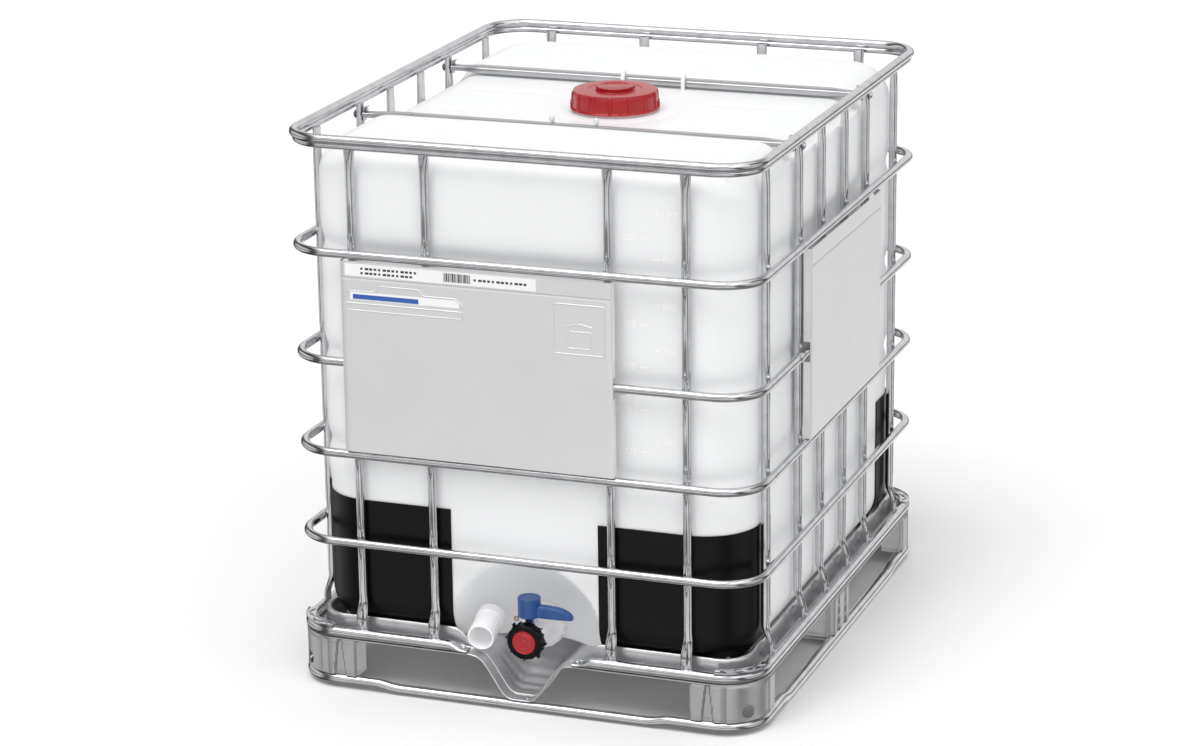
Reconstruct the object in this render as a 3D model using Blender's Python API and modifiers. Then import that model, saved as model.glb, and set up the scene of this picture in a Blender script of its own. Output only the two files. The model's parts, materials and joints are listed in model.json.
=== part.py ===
"""Intermediate bulk container: a 1000-litre blow-moulded bottle in a tubular cage on a steel pallet.

Metres, +Z up. The origin is at floor level under the middle of the pallet. The front, with the
outlet valve, faces -Y, and +X is to the right seen from the front.
"""

from math import asin, cos, degrees, pi, radians, sin, sqrt

import bmesh
import bpy
from mathutils import Matrix, Vector

# ---------------------------------------------------------------- driving dimensions

HALF_X = 0.500
HALF_Y = 0.600
HEIGHT = 1.160
GAP = 0.0003

CAGE_INSET = 0.0025
TUBE_R = 0.009
CORNER_R = 0.095
RING_HEIGHTS = {
    "ring_upper": 0.921,
    "ring_middle": 0.698,
    "ring_lower": 0.506,
    "ring_bottom": 0.317,
}
UPRIGHT_INSET = CAGE_INSET + 3 * TUBE_R + GAP
UPRIGHT_PLACES = {
    "front": (-0.348, -0.190, 0.190, 0.348),
    "back": (-0.358, -0.137, 0.137, 0.358),
    "left": (-0.452, -0.237, -0.081, 0.081, 0.237, 0.452),
    "right": (-0.452, -0.237, -0.081, 0.081, 0.237, 0.452),
}
TOP_BEAD_R = 0.0095
TOP_LIP_R = 0.0062
TOP_LIP_INWARD = 0.0027
TOP_LIP_DROP = 0.0130

RUNNER_R = 0.011
RUNNER_RAISE = 0.007
RUNNER_STEPS = (-0.310, -0.275, 0.275, 0.310)
RUNNER_SIDE_STEPS = (-0.410, -0.375, 0.375, 0.410)
CROSS_RUNNER = ((-0.030, 0.0), (-0.020, 0.018), (0.020, 0.018), (0.030, 0.0))
FRAME_R = 0.011
FRAME_Z = 0.121
FRAME_END_X = 0.135
FLANGE_Z = FRAME_Z - FRAME_R - GAP
SHEET = 0.0015
RIDGE_Z = 0.148
RIDGE_INSET = 0.041
TROUGH_Z = 2 * RUNNER_R + GAP + SHEET
TROUGH_END_Y = 0.26
TROUGH_KEYS = ((0.026, TROUGH_Z), (0.040, 0.041), (0.074, 0.0925), (0.086, 0.1050), (0.103, FLANGE_Z))
TROUGH_HALF = 0.154
FOOT_SHEET = 0.0022
FOOT_TOP = FLANGE_Z - SHEET - GAP
FOOT_INSET = 0.003
FOOT_NEAR_X, FOOT_NEAR_Y = 0.357, 0.462
FOOT_REACH = 0.048
FOOT_HOLE_R = 0.014
FOOT_HOLE_Z = 0.050
FOOT_HOLE_ANGLE = radians(-43)
MIDDLE_FOOT_HALF = 0.068
MIDDLE_FOOT_DEEP = 0.080

BOTTLE_X = 0.4560
BOTTLE_Y = 0.5560
BOTTLE_Z0 = FLANGE_Z + GAP
BOTTLE_TOP = 1.130
BOTTLE_CORNER_R = 0.110
BOTTLE_BOTTOM_R = 0.080
BOTTLE_TOP_R = 0.065
BOTTLE_WALL = 0.004
BAND_Z = 1.108
BAND_Y = 0.262
NECK_R = 0.0810
NECK_BORE_R = 0.0725
NECK_TOP = 1.1400
OUTLET_NECK_R = 0.036
OUTLET_BORE_R = 0.027
OUTLET_NECK_END_Y = -0.462
RECESS_SIZE = (0.168, 0.137, 0.168)
RECESS_Y = -0.580

PROTECTOR_T = 0.0030
PROTECTOR_TOP = 0.400
PROTECTOR_SIDE_Y = 0.385
PROTECTOR_FRONT_X = 0.157
PROTECTOR_BACK_X = 0.260

VALVE_Z = 0.138
VALVE_BORE_R = 0.026
STEM_Y = -0.537
HUB_R = 0.0235
HUB_Z0 = 0.184
HUB_Z1 = 0.224
STEM_R = 0.0050
STEM_BORE_R = 0.0055
BOSS_R = 0.0115
BOSS_TOP = 0.1692
LEVER = ((0.004, 0.0115, 0.0250), (0.060, 0.0105, 0.0240), (0.082, 0.0090, 0.0190), (0.093, 0.0050, 0.0110))

CAP_LOW, CAP_PLATE_Z, CAP_TOP = 1.1135, 1.1436, 1.1515
BUNG_R = 0.0300
BUNG_HEAD_R = 0.0390
BUNG_LOW = 1.132

SPOUT_PLACE = (-0.0965, -0.5020, 0.1580)
SPOUT_DIRECTION = (0.115, -0.985, -0.150)
SPOUT_R, SPOUT_BORE_R, SPOUT_COLLAR_R = 0.0275, 0.0240, 0.0295
SPOUT_LENGTH = 0.088

PLATE_TOP = RING_HEIGHTS["ring_upper"] - TUBE_R - 0.001
PLATE_BOTTOM = RING_HEIGHTS["ring_lower"] + TUBE_R + 0.001
PLATE_T = 0.0012
PLATE_FACE = 0.0006 + PLATE_T / 2
PLATE_FOLD = 0.0170
PLATE_NOTCH = 0.012

BAR_Y = 0.237
BAR_END_INSET = UPRIGHT_INSET + TUBE_R + GAP
BAR_Z = 1.1195
BOLT_Z = 1.1190
BAR_HALF_WIDTH = 0.018
BAR_HALF_HEIGHT = 0.008
BAR_END_SIZE = 0.70
BOLT_HOLE_R = 0.0046
BOLT_HEAD_R, BOLT_HEAD_HEIGHT = 0.0065, 0.0045
BOLT_SHANK_R, BOLT_SHANK_LENGTH = 0.0040, 0.060

# ---------------------------------------------------------------- scene, materials, helpers


def fresh_scene():
    """Empties the scene and makes one collection for the object and one for its cutters."""
    for obj in list(bpy.data.objects):
        bpy.data.objects.remove(obj, do_unlink=True)
    made = []
    for name in ("bulk_container", "cutters"):
        group = bpy.data.collections.new(name)
        bpy.context.scene.collection.children.link(group)
        made.append(group)
    return made


PARTS, CUTTERS = fresh_scene()


def material(name, colour, roughness, metallic=0.0):
    """A Principled material."""
    made = bpy.data.materials.new(name)
    made.use_nodes = True
    shader = made.node_tree.nodes["Principled BSDF"]
    shader.inputs["Base Color"].default_value = (*colour, 1.0)
    shader.inputs["Roughness"].default_value = roughness
    shader.inputs["Metallic"].default_value = metallic
    made.diffuse_color = (*colour, 1.0)
    return made


TUBE_STEEL = material("galvanised_tube", (0.68, 0.69, 0.70), 0.22, 1.0)
SHEET_STEEL = material("galvanised_sheet", (0.72, 0.72, 0.73), 0.32, 1.0)
LABEL_STEEL = material("label_sheet", (0.78, 0.78, 0.79), 0.35, 1.0)
BOLT_STEEL = material("zinc_bolt", (0.60, 0.60, 0.62), 0.30, 1.0)
WHITE_HDPE = material("natural_hdpe", (0.88, 0.89, 0.90), 0.42)
WHITE_PP = material("white_moulding", (0.86, 0.86, 0.87), 0.35)
RED_PE = material("red_moulding", (0.55, 0.02, 0.03), 0.33)
BLACK_PE = material("black_moulding", (0.012, 0.012, 0.013), 0.40)
BLUE_PP = material("blue_moulding", (0.035, 0.115, 0.34), 0.35)
SEAL_EPDM = material("grey_seal", (0.20, 0.20, 0.21), 0.60)


def add(name, data, finish):
    """Links an object to the part's collection, with its material."""
    obj = bpy.data.objects.new(name, data)
    data.materials.append(finish)
    PARTS.objects.link(obj)
    return obj


def mesh_part(name, points, faces, finish):
    """A mesh object from points and faces, with its faces turned outwards."""
    mesh = bpy.data.meshes.new(name)
    mesh.from_pydata([tuple(p) for p in points], [], faces)
    shape = bmesh.new()
    shape.from_mesh(mesh)
    bmesh.ops.recalc_face_normals(shape, faces=shape.faces)
    shape.to_mesh(mesh)
    shape.free()
    return add(name, mesh, finish)


def face_towards(obj, direction):
    """Turns an open sheet over if most of its area faces away from a direction."""
    shape = bmesh.new()
    shape.from_mesh(obj.data)
    if sum(face.calc_area() * face.normal.dot(direction) for face in shape.faces) < 0:
        bmesh.ops.reverse_faces(shape, faces=shape.faces)
    shape.to_mesh(obj.data)
    shape.free()


def as_cutter(obj):
    """Moves an object to the cutters' collection and hides it from renders."""
    for group in list(obj.users_collection):
        group.objects.unlink(obj)
    CUTTERS.objects.link(obj)
    obj.hide_render = True
    obj.display_type = "WIRE"
    return obj


def tool(name, points, faces):
    """A closed mesh used only by Booleans."""
    return as_cutter(mesh_part(name, points, faces, WHITE_PP))


def cylinder_tool(name, radius, start, end, sides=24):
    """A cylinder between two points, used only by Booleans."""
    start, end = Vector(start), Vector(end)
    along = end - start
    mesh = bpy.data.meshes.new(name)
    shape = bmesh.new()
    bmesh.ops.create_cone(
        shape, cap_ends=True, segments=sides, radius1=radius, radius2=radius, depth=along.length
    )
    shape.to_mesh(mesh)
    shape.free()
    obj = add(name, mesh, WHITE_PP)
    turn = along.to_track_quat("Z", "Y").to_matrix().to_4x4()
    mesh.transform(Matrix.Translation((start + end) / 2) @ turn)
    return as_cutter(obj)


def boolean(obj, cutter, operation="DIFFERENCE"):
    """Adds an exact Boolean to an object."""
    step = obj.modifiers.new(cutter.name, "BOOLEAN")
    step.operation = operation
    step.solver = "EXACT"
    step.object = cutter


def thicken(obj, thickness, offset=-1.0):
    """Adds Solidify with even thickness."""
    step = obj.modifiers.new("thickness", "SOLIDIFY")
    step.thickness = thickness
    step.offset = offset
    step.use_even_offset = True


def tube(name, points, radius, finish, cyclic=False, profile=None):
    """A tube along points, round or with the section of a profile curve."""
    curve = bpy.data.curves.new(name, "CURVE")
    curve.dimensions = "3D"
    curve.twist_mode = "Z_UP"
    line = curve.splines.new("POLY")
    line.points.add(len(points) - 1)
    for index, place in enumerate(points):
        line.points[index].co = (*place, 1.0)
    line.use_cyclic_u = cyclic
    line.use_smooth = True
    if profile:
        curve.bevel_mode = "OBJECT"
        curve.bevel_object = profile
    else:
        curve.bevel_depth = radius
        curve.bevel_resolution = 2
    curve.use_fill_caps = not cyclic
    return add(name, curve, finish)


def profile_curve(name, points):
    """A closed flat curve that a tube uses as its section."""
    curve = bpy.data.curves.new(name, "CURVE")
    curve.dimensions = "2D"
    line = curve.splines.new("POLY")
    line.points.add(len(points) - 1)
    for index, (x, y) in enumerate(points):
        line.points[index].co = (x, y, 0.0, 1.0)
    line.use_cyclic_u = True
    obj = bpy.data.objects.new(name, curve)
    PARTS.objects.link(obj)
    return as_cutter(obj)


def turned(name, profile, finish, place, axis="Z", steps=32):
    """A closed profile of (radius, height) pairs, outer side first and downwards, turned by Screw.

    With axis "-Y" the heights run forwards, out of the front of the container.
    """
    mesh = bpy.data.meshes.new(name)
    points = [(radius, 0.0, height) for radius, height in profile]
    on_axis = profile[0][0] == 0.0
    count = len(points)
    edges = [(i, (i + 1) % count) for i in range(count - 1 if on_axis else count)]
    mesh.from_pydata(points, edges, [])
    obj = add(name, mesh, finish)
    obj.location = place
    if axis == "-Y":
        obj.rotation_euler = (pi / 2, 0.0, 0.0)
    step = obj.modifiers.new("turn", "SCREW")
    step.steps = steps
    step.render_steps = steps
    step.use_merge_vertices = True
    step.merge_threshold = 0.00001
    step.use_smooth_shade = True
    return obj


def disc_profile(radius, low, high):
    """The half-profile of a plain disc, from the top of its axis round to the bottom."""
    return [(0.0, high), (radius, high), (radius, low), (0.0, low)]


def ring_profile(outer, inner, low, high):
    """The profile of a plain ring."""
    return [(outer, high), (outer, low), (inner, low), (inner, high)]


# ---------------------------------------------------------------- outlines


def arc(centre, radius, start, end, steps):
    """Points on an arc, angles in degrees."""
    turns = [radians(start + (end - start) * i / steps) for i in range(steps + 1)]
    return [(centre[0] + radius * cos(a), centre[1] + radius * sin(a)) for a in turns]


def rounded_loop(half_x, half_y, corner, steps, front_xs=(), side_ys=()):
    """A rounded rectangle, counter-clockwise from the left end of its front edge.

    front_xs are extra points on the front edge, and side_ys on both sides.
    """
    cx, cy = half_x - corner, half_y - corner
    loop = [(-cx, -half_y)]
    loop += [(x, -half_y) for x in front_xs]
    loop += arc((cx, -cy), corner, -90, 0, steps)
    loop += [(half_x, y) for y in side_ys]
    loop += arc((cx, cy), corner, 0, 90, steps)
    loop += arc((-cx, cy), corner, 90, 180, steps)
    loop += [(-half_x, -y) for y in side_ys]
    loop += arc((-cx, -cy), corner, 180, 270, steps)[:-1]
    return loop


def wall_point(side, along, inset, z):
    """A point at a distance inside one face of the container."""
    return {
        "front": (along, -HALF_Y + inset, z),
        "back": (along, HALF_Y - inset, z),
        "left": (-HALF_X + inset, along, z),
        "right": (HALF_X - inset, along, z),
    }[side]


def loft_data(loops, cap_first=True, cap_last=True):
    """Points and faces of a skin through closed loops that all have the same number of points."""
    count = len(loops[0])
    points = [p for loop in loops for p in loop]
    faces = []
    for row in range(len(loops) - 1):
        low, high = row * count, (row + 1) * count
        for i in range(count):
            j = (i + 1) % count
            faces.append((low + i, low + j, high + j, high + i))
    if cap_first:
        faces.append(tuple(range(count)))
    if cap_last:
        faces.append(tuple(range(len(points) - count, len(points))))
    return points, faces


def loft(name, loops, finish, cap_first=True):
    """A mesh object skinned through closed loops."""
    return mesh_part(name, *loft_data(loops, cap_first), finish)


def strip(rows):
    """Points and faces of an open grid, one row after another."""
    count = len(rows[0])
    points = [p for row in rows for p in row]
    faces = []
    for row in range(len(rows) - 1):
        for i in range(count - 1):
            low, high = row * count + i, (row + 1) * count + i
            faces.append((low, low + 1, high + 1, high))
    return points, faces


def flipped(shape_points, sign_x, sign_y):
    """Points mirrored to another corner."""
    return [(x * sign_x, y * sign_y, z) for x, y, z in shape_points]


# ---------------------------------------------------------------- cage


def make_rings():
    """Four round hoops and the double-beaded top ring."""
    inset = CAGE_INSET + TUBE_R
    for name, z in RING_HEIGHTS.items():
        loop = rounded_loop(HALF_X - inset, HALF_Y - inset, CORNER_R - TUBE_R, 5)
        tube(name, [(x, y, z) for x, y in loop], TUBE_R, TUBE_STEEL, cyclic=True)
    make_top_ring()


def make_top_ring():
    """The top ring: a bead with a smaller lip pressed under it, set inwards."""
    reach = sqrt(TOP_LIP_INWARD**2 + TOP_LIP_DROP**2)
    lean = asin(TOP_LIP_INWARD / reach)
    along = (reach**2 + TOP_BEAD_R**2 - TOP_LIP_R**2) / (2 * reach)
    half_chord = sqrt(TOP_BEAD_R**2 - along**2)
    down = -90 + degrees(lean)
    bead_gap = degrees(asin(half_chord / TOP_BEAD_R))
    lip_gap = degrees(asin(half_chord / TOP_LIP_R))
    bead = arc((0, 0), TOP_BEAD_R, down + bead_gap, down + 360 - bead_gap, 9)
    lip = arc((TOP_LIP_INWARD, -TOP_LIP_DROP), TOP_LIP_R, down - 180 + lip_gap, down + 180 - lip_gap, 6)
    outline = (bead[:-1] + lip[:-1])[::-1]
    loop = rounded_loop(
        HALF_X - CAGE_INSET - TOP_BEAD_R, HALF_Y - CAGE_INSET - TOP_BEAD_R, CORNER_R - TOP_BEAD_R, 5
    )
    z = HEIGHT - TOP_BEAD_R
    section = profile_curve("top_ring_section", outline)
    tube("top_ring", [(x, y, z) for x, y in loop], 0, TUBE_STEEL, cyclic=True, profile=section)


def make_uprights():
    """Twenty uprights, welded inside the hoops and bowed out at the foot onto the pallet frame."""
    foot_z = FRAME_Z + FRAME_R + GAP
    course = (
        (0.0165, foot_z),
        (0.0165, foot_z + 0.016),
        (UPRIGHT_INSET - 0.001, foot_z + 0.050),
        (UPRIGHT_INSET, foot_z + 0.062),
        (UPRIGHT_INSET, HEIGHT - 2 * TOP_BEAD_R - 0.0005),
    )
    for side, places in UPRIGHT_PLACES.items():
        for number, along in enumerate(places, start=1):
            points = [wall_point(side, along, inset, z) for inset, z in course]
            name = f"upright_{side}_{number}"
            upright = tube(name, points, TUBE_R, TUBE_STEEL)
            if side in ("left", "right") and abs(along) == BAR_Y:
                boolean(as_mesh(upright), bolt_hole(name, along))


def as_mesh(obj):
    """Replaces a curve object by a mesh object of the same name and place."""
    bpy.context.view_layer.update()
    shown = obj.evaluated_get(bpy.context.evaluated_depsgraph_get())
    mesh = bpy.data.meshes.new_from_object(shown)
    shape = bmesh.new()
    shape.from_mesh(mesh)
    bmesh.ops.remove_doubles(shape, verts=shape.verts, dist=0.00001)
    shape.to_mesh(mesh)
    shape.free()
    name, place = obj.name, obj.matrix_world.copy()
    bpy.data.objects.remove(obj, do_unlink=True)
    made = bpy.data.objects.new(name, mesh)
    made.matrix_world = place
    PARTS.objects.link(made)
    return made


def bolt_hole(name, along):
    """The cutter for a crossbar's bolt, right across the container."""
    ends = [(x, along, BOLT_Z) for x in (-HALF_X, HALF_X)]
    return cylinder_tool(f"bolt_hole_{name}", BOLT_HOLE_R, *ends, 16)


def bar_section(x, y, z, size):
    """A rounded flat section of the crossbar, looking along X."""
    corner = 0.005 * size
    half_y, half_z = BAR_HALF_WIDTH * size, BAR_HALF_HEIGHT * size
    section = []
    for sy, sz, start in ((1, -1, -90), (1, 1, 0), (-1, 1, 90), (-1, -1, 180)):
        centre = (sy * (half_y - corner), sz * (half_z - corner))
        section += arc(centre, corner, start, start + 90, 2)
    return [(x, y + dy, z + dz) for dy, dz in section]


def make_crossbars():
    """Two flattened tubes across the top, narrowed at each end."""
    end_x = HALF_X - BAR_END_INSET
    course = ((end_x, BOLT_Z, BAR_END_SIZE), (0.446, BOLT_Z, BAR_END_SIZE), (0.415, BAR_Z, 1.0))
    for name, y in (("crossbar_front", -BAR_Y), ("crossbar_back", BAR_Y)):
        left = [bar_section(-x, y, z, size) for x, z, size in course]
        right = [bar_section(x, y, z, size) for x, z, size in course[::-1]]
        bar = loft(name, left + right, TUBE_STEEL)
        boolean(bar, bolt_hole(name, y))


def make_bolts():
    """A bolt with its head outside each drilled upright, its shank ending inside the crossbar."""
    head_x = HALF_X - UPRIGHT_INSET + TUBE_R + GAP
    head = [(0.0, BOLT_HEAD_HEIGHT), (BOLT_HEAD_R, BOLT_HEAD_HEIGHT), (BOLT_HEAD_R, 0.0)]
    shank = [(BOLT_SHANK_R, 0.0), (BOLT_SHANK_R, -BOLT_SHANK_LENGTH), (0.0, -BOLT_SHANK_LENGTH)]
    for side, sign in (("left", -1), ("right", 1)):
        for end, y in (("front", -BAR_Y), ("back", BAR_Y)):
            place = (sign * head_x, y, BOLT_Z)
            bolt = turned(f"crossbar_bolt_{end}_{side}", head + shank, BOLT_STEEL, place, steps=12)
            bolt.rotation_euler = (0.0, sign * pi / 2, 0.0)


def make_label_plate(name, side, left, right):
    """A folded sheet hooked under the upper hoop, in front of the middle one, with two side folds."""
    notch_low = RING_HEIGHTS["ring_middle"] - TUBE_R - PLATE_NOTCH
    notch_high = RING_HEIGHTS["ring_middle"] + TUBE_R + PLATE_NOTCH
    heights = (PLATE_BOTTOM, notch_low, notch_high, PLATE_TOP)
    course = ((left, PLATE_FOLD), (left, PLATE_FACE), (right, PLATE_FACE), (right, PLATE_FOLD))
    rows = [[wall_point(side, along, inset, z) for along, inset in course] for z in heights]
    points, faces = strip(rows)
    folds_at_hoop = (3, 5)
    faces = [face for index, face in enumerate(faces) if index not in folds_at_hoop]
    plate = mesh_part(name, points, faces, LABEL_STEEL)
    thicken(plate, PLATE_T, offset=0.0)


# ---------------------------------------------------------------- pallet

PAN_COLUMNS = (-0.155, -0.130, -0.103, -0.086, -0.074, -0.040, -0.026, 0.0)


def trough_height(x):
    """Height of the outlet trough's section, flat at the bottom and level with the flange outside."""
    reach = abs(x)
    if reach <= TROUGH_KEYS[0][0]:
        return TROUGH_Z
    for (x0, z0), (x1, z1) in zip(TROUGH_KEYS, TROUGH_KEYS[1:]):
        if reach <= x1:
            return z0 + (z1 - z0) * (reach - x0) / (x1 - x0)
    return FLANGE_Z


def pan_height(x, y, z):
    """Height of a pan point: lowered into the trough in front, back to its own height behind."""
    if abs(x) > TROUGH_HALF or y > 0:
        return z
    inset = HALF_Y + y
    back = min(max((inset - 0.06) / (TROUGH_END_Y - 0.06), 0.0), 1.0)
    back = back * back * (3 - 2 * back)
    low = trough_height(x)
    if z > FLANGE_Z:
        rise = min(max((abs(x) - 0.103) / 0.052, 0.0), 1.0)
        return low + (z - FLANGE_Z) * rise
    return low + (FLANGE_Z - low) * back


def make_pan():
    """The base pan: flange under the frame, ridge round the bottle, floor, and the outlet trough."""
    columns = PAN_COLUMNS + tuple(-x for x in PAN_COLUMNS[-2::-1])
    rows = (
        (0.0015, FLANGE_Z),
        (RIDGE_INSET - 0.002, FLANGE_Z),
        (RIDGE_INSET, RIDGE_Z - 0.002),
        (RIDGE_INSET + 0.005, RIDGE_Z),
        (RIDGE_INSET + 0.010, RIDGE_Z - 0.003),
        (RIDGE_INSET + 0.0115, FLANGE_Z),
        (0.085, FLANGE_Z),
        (0.125, FLANGE_Z),
        (0.170, FLANGE_Z),
        (0.215, FLANGE_Z),
        (TROUGH_END_Y, FLANGE_Z),
    )
    loops = []
    for inset, z in rows:
        corner = max(CORNER_R - inset * 0.8, 0.03)
        outline = rounded_loop(HALF_X - inset, HALF_Y - inset, corner, 4, columns)
        loops.append([(x, y, pan_height(x, y, z)) for x, y in outline])
    pan = loft("base_pan", loops, SHEET_STEEL, cap_first=False)
    face_towards(pan, Vector((0, 0, 1)))
    thicken(pan, SHEET)


def make_pallet_frame():
    """The pallet's top tube, open at the front where the outlet trough passes."""
    ends = (-FRAME_END_X, FRAME_END_X)
    loop = rounded_loop(HALF_X - FRAME_R, HALF_Y - FRAME_R, CORNER_R - FRAME_R, 5, ends)
    points = [(x, y, FRAME_Z) for x, y in loop]
    tube("pallet_frame", points[2:] + points[:2], FRAME_R, TUBE_STEEL)


def make_runners():
    """The base runner, stepped up at the corners, and the flat cross runner between the side feet."""
    cx, cy = HALF_X - RUNNER_R, HALF_Y - RUNNER_R
    corner = CORNER_R - RUNNER_R
    high, low = RUNNER_R + RUNNER_RAISE, RUNNER_R
    levels = (high, low, low, high)
    runs = (
        [(cx, y, z) for y, z in zip(RUNNER_SIDE_STEPS, levels)],
        [(-x, cy, z) for x, z in zip(RUNNER_STEPS, levels)],
        [(-cx, -y, z) for y, z in zip(RUNNER_SIDE_STEPS, levels)],
        [(x, -cy, z) for x, z in zip(RUNNER_STEPS, levels)],
    )
    points = []
    for turn, (sx, sy) in enumerate(((1, -1), (1, 1), (-1, 1), (-1, -1))):
        centre = (sx * (cx - corner), sy * (cy - corner))
        bend = arc(centre, corner, turn * 90 - 90, turn * 90, 4)
        points += [(x, y, high) for x, y in bend] + runs[turn]
    tube("base_runner", points, RUNNER_R, TUBE_STEEL, cyclic=True)
    end = HALF_X - 2 * RUNNER_R - GAP
    loops = [[(x, y, z) for y, z in CROSS_RUNNER] for x in (-end, end)]
    loft("cross_runner", loops, SHEET_STEEL)


def foot_shell(name, plan, bottom, signs=(1, 1)):
    """An open-bottomed pressed foot: a wall along a plan line and a top plate closing it."""
    rows = [[(x, y, z) for x, y in plan] for z in (bottom, FOOT_TOP)]
    points, faces = strip([flipped(row, *signs) for row in rows])
    count = len(plan)
    faces.append(tuple(range(2 * count - 1, count - 1, -1)))
    foot = mesh_part(name, points, faces, SHEET_STEEL)
    face_towards(foot, Vector((0, 0, 1)))
    thicken(foot, FOOT_SHEET)
    return foot


def make_feet():
    """Four pressed corner feet with a round hole in the corner, and three feet between them."""
    corner = CORNER_R - FOOT_INSET
    cx, cy = HALF_X - CORNER_R, HALF_Y - CORNER_R
    plan = [(FOOT_NEAR_X, -HALF_Y + FOOT_REACH), (FOOT_NEAR_X, -HALF_Y + FOOT_INSET)]
    plan += arc((cx, -cy), corner, -90, 0, 6)
    plan += [(HALF_X - FOOT_INSET, -FOOT_NEAR_Y), (HALF_X - FOOT_REACH, -FOOT_NEAR_Y)]
    bottom = 2 * RUNNER_R + RUNNER_RAISE + GAP
    for front, sy in (("front", 1), ("back", -1)):
        for side, sx in (("left", -1), ("right", 1)):
            name = f"corner_foot_{front}_{side}"
            foot = foot_shell(name, plan, bottom, (sx, sy))
            out = Vector((sx * cos(FOOT_HOLE_ANGLE), sy * sin(FOOT_HOLE_ANGLE), 0))
            middle = Vector((sx * cx, -sy * cy, FOOT_HOLE_Z)) + out * corner
            hole = cylinder_tool(f"hole_{name}", FOOT_HOLE_R, middle - out * 0.02, middle + out * 0.02)
            boolean(foot, hole)
    half, deep = MIDDLE_FOOT_HALF, MIDDLE_FOOT_DEEP
    plan = [(-half, deep), (-half, FOOT_INSET), (half, FOOT_INSET), (half, deep)]
    for side in ("left", "right", "back"):
        flat = [wall_point(side, along, depth, 0)[:2] for along, depth in plan]
        foot_shell(f"middle_foot_{side}", flat, 2 * RUNNER_R + GAP)


# ---------------------------------------------------------------- bottle and its protectors


def bottle_outline(grow, shrink, z, columns=()):
    """One level of the bottle's rounded body, grown outwards and shrunk for its rounded edges."""
    inwards = shrink - grow
    corner = max(BOTTLE_CORNER_R - inwards, 0.02)
    loop = rounded_loop(BOTTLE_X - inwards, BOTTLE_Y - inwards, corner, 5, columns)
    return [(x, y, z) for x, y in loop]


def bottle_levels(grow):
    """Pairs of shrink and height up the bottle, with its skin moved out by grow."""
    levels = []
    turns = [radians(90 * step / 4) for step in range(5)]
    for a in turns:
        radius = BOTTLE_BOTTOM_R + grow
        levels.append((radius * (1 - sin(a)), BOTTLE_Z0 + BOTTLE_BOTTOM_R - radius * cos(a)))
    for a in turns:
        radius = BOTTLE_TOP_R + grow
        levels.append((radius * (1 - cos(a)), BOTTLE_TOP - BOTTLE_TOP_R + radius * sin(a)))
    return levels


def bottle_body(name, grow):
    """The bottle's plain rounded body."""
    loops = [bottle_outline(grow, shrink, z) for shrink, z in bottle_levels(grow)]
    return loft(name, loops, WHITE_HDPE)


def recess_tool(name, grow):
    """The dished recess round the outlet."""
    mesh = bpy.data.meshes.new(name)
    shape = bmesh.new()
    bmesh.ops.create_uvsphere(shape, u_segments=24, v_segments=14, radius=1.0)
    shape.to_mesh(mesh)
    shape.free()
    size = Matrix.Diagonal((*[half + grow for half in RECESS_SIZE], 1.0))
    mesh.transform(Matrix.Translation((0, RECESS_Y, VALVE_Z)) @ size @ Matrix.Rotation(pi / 2, 4, "X"))
    return as_cutter(add(name, mesh, WHITE_PP))


def band_tool(name, grow):
    """The lower band across the top, between the front and back lobes."""
    half = BAND_Y + grow
    low = BAND_Z - grow
    course = ((-half - 0.03, 1.2), (-half, BAND_Z + 0.012 - grow), (-half + 0.012, low))
    course += ((half - 0.012, low), (half, BAND_Z + 0.012 - grow), (half + 0.03, 1.2))
    loops = [[(x, y, z) for y, z in course] for x in (-0.6, 0.6)]
    made = loft(name, loops, WHITE_PP)
    return as_cutter(made)


def make_bottle():
    """The hollow bottle: body less recess and band, plus both necks, less the same shape inside."""
    bottle = bottle_body("inner_bottle", 0.0)
    boolean(bottle, recess_tool("recess", 0.0))
    boolean(bottle, band_tool("band", 0.0))
    fill_neck = cylinder_tool("fill_neck", NECK_R, (0, 0, BAND_Z - 0.02), (0, 0, NECK_TOP), 32)
    outlet_start, outlet_end = (0, OUTLET_NECK_END_Y + 0.032, VALVE_Z), (0, OUTLET_NECK_END_Y, VALVE_Z)
    outlet_neck = cylinder_tool("outlet_neck", OUTLET_NECK_R, outlet_start, outlet_end)
    boolean(bottle, fill_neck, "UNION")
    boolean(bottle, outlet_neck, "UNION")
    hollow = as_cutter(bottle_body("hollow", -BOTTLE_WALL))
    boolean(hollow, recess_tool("hollow_recess", BOTTLE_WALL))
    boolean(hollow, band_tool("hollow_band", BOTTLE_WALL))
    boolean(bottle, hollow)
    fill_bore = cylinder_tool("fill_bore", NECK_BORE_R, (0, 0, BAND_Z - 0.03), (0, 0, 1.2), 32)
    outlet_bore = cylinder_tool("outlet_bore", OUTLET_BORE_R, (0, -0.40, VALVE_Z), (0, -0.50, VALVE_Z))
    boolean(bottle, fill_bore)
    boolean(bottle, outlet_bore)


def make_protectors():
    """Four moulded shells round the bottle's lower corners."""
    grow = 0.0005
    levels = [(shrink, z) for shrink, z in bottle_levels(grow)[1:5]]
    levels.append((0.0, PROTECTOR_TOP))
    for front, sy, reach_x in (("front", 1, PROTECTOR_FRONT_X), ("back", -1, PROTECTOR_BACK_X)):
        for side, sx in (("left", -1), ("right", 1)):
            rows = []
            for shrink, z in levels:
                inwards = shrink - grow
                half_x, half_y = BOTTLE_X - inwards, BOTTLE_Y - inwards
                corner = max(BOTTLE_CORNER_R - inwards, 0.02)
                plan = [(reach_x, -half_y)]
                plan += arc((half_x - corner, -half_y + corner), corner, -90, 0, 5)
                plan += [(half_x, -PROTECTOR_SIDE_Y)]
                rows.append(flipped([(x, y, z) for x, y in plan], sx, sy))
            points, faces = strip(rows)
            shell = mesh_part(f"corner_protector_{front}_{side}", points, faces, BLACK_PE)
            face_towards(shell, Vector((sx, -sy, 0)))
            thicken(shell, PROTECTOR_T, offset=1.0)


# ---------------------------------------------------------------- filler cap


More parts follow.
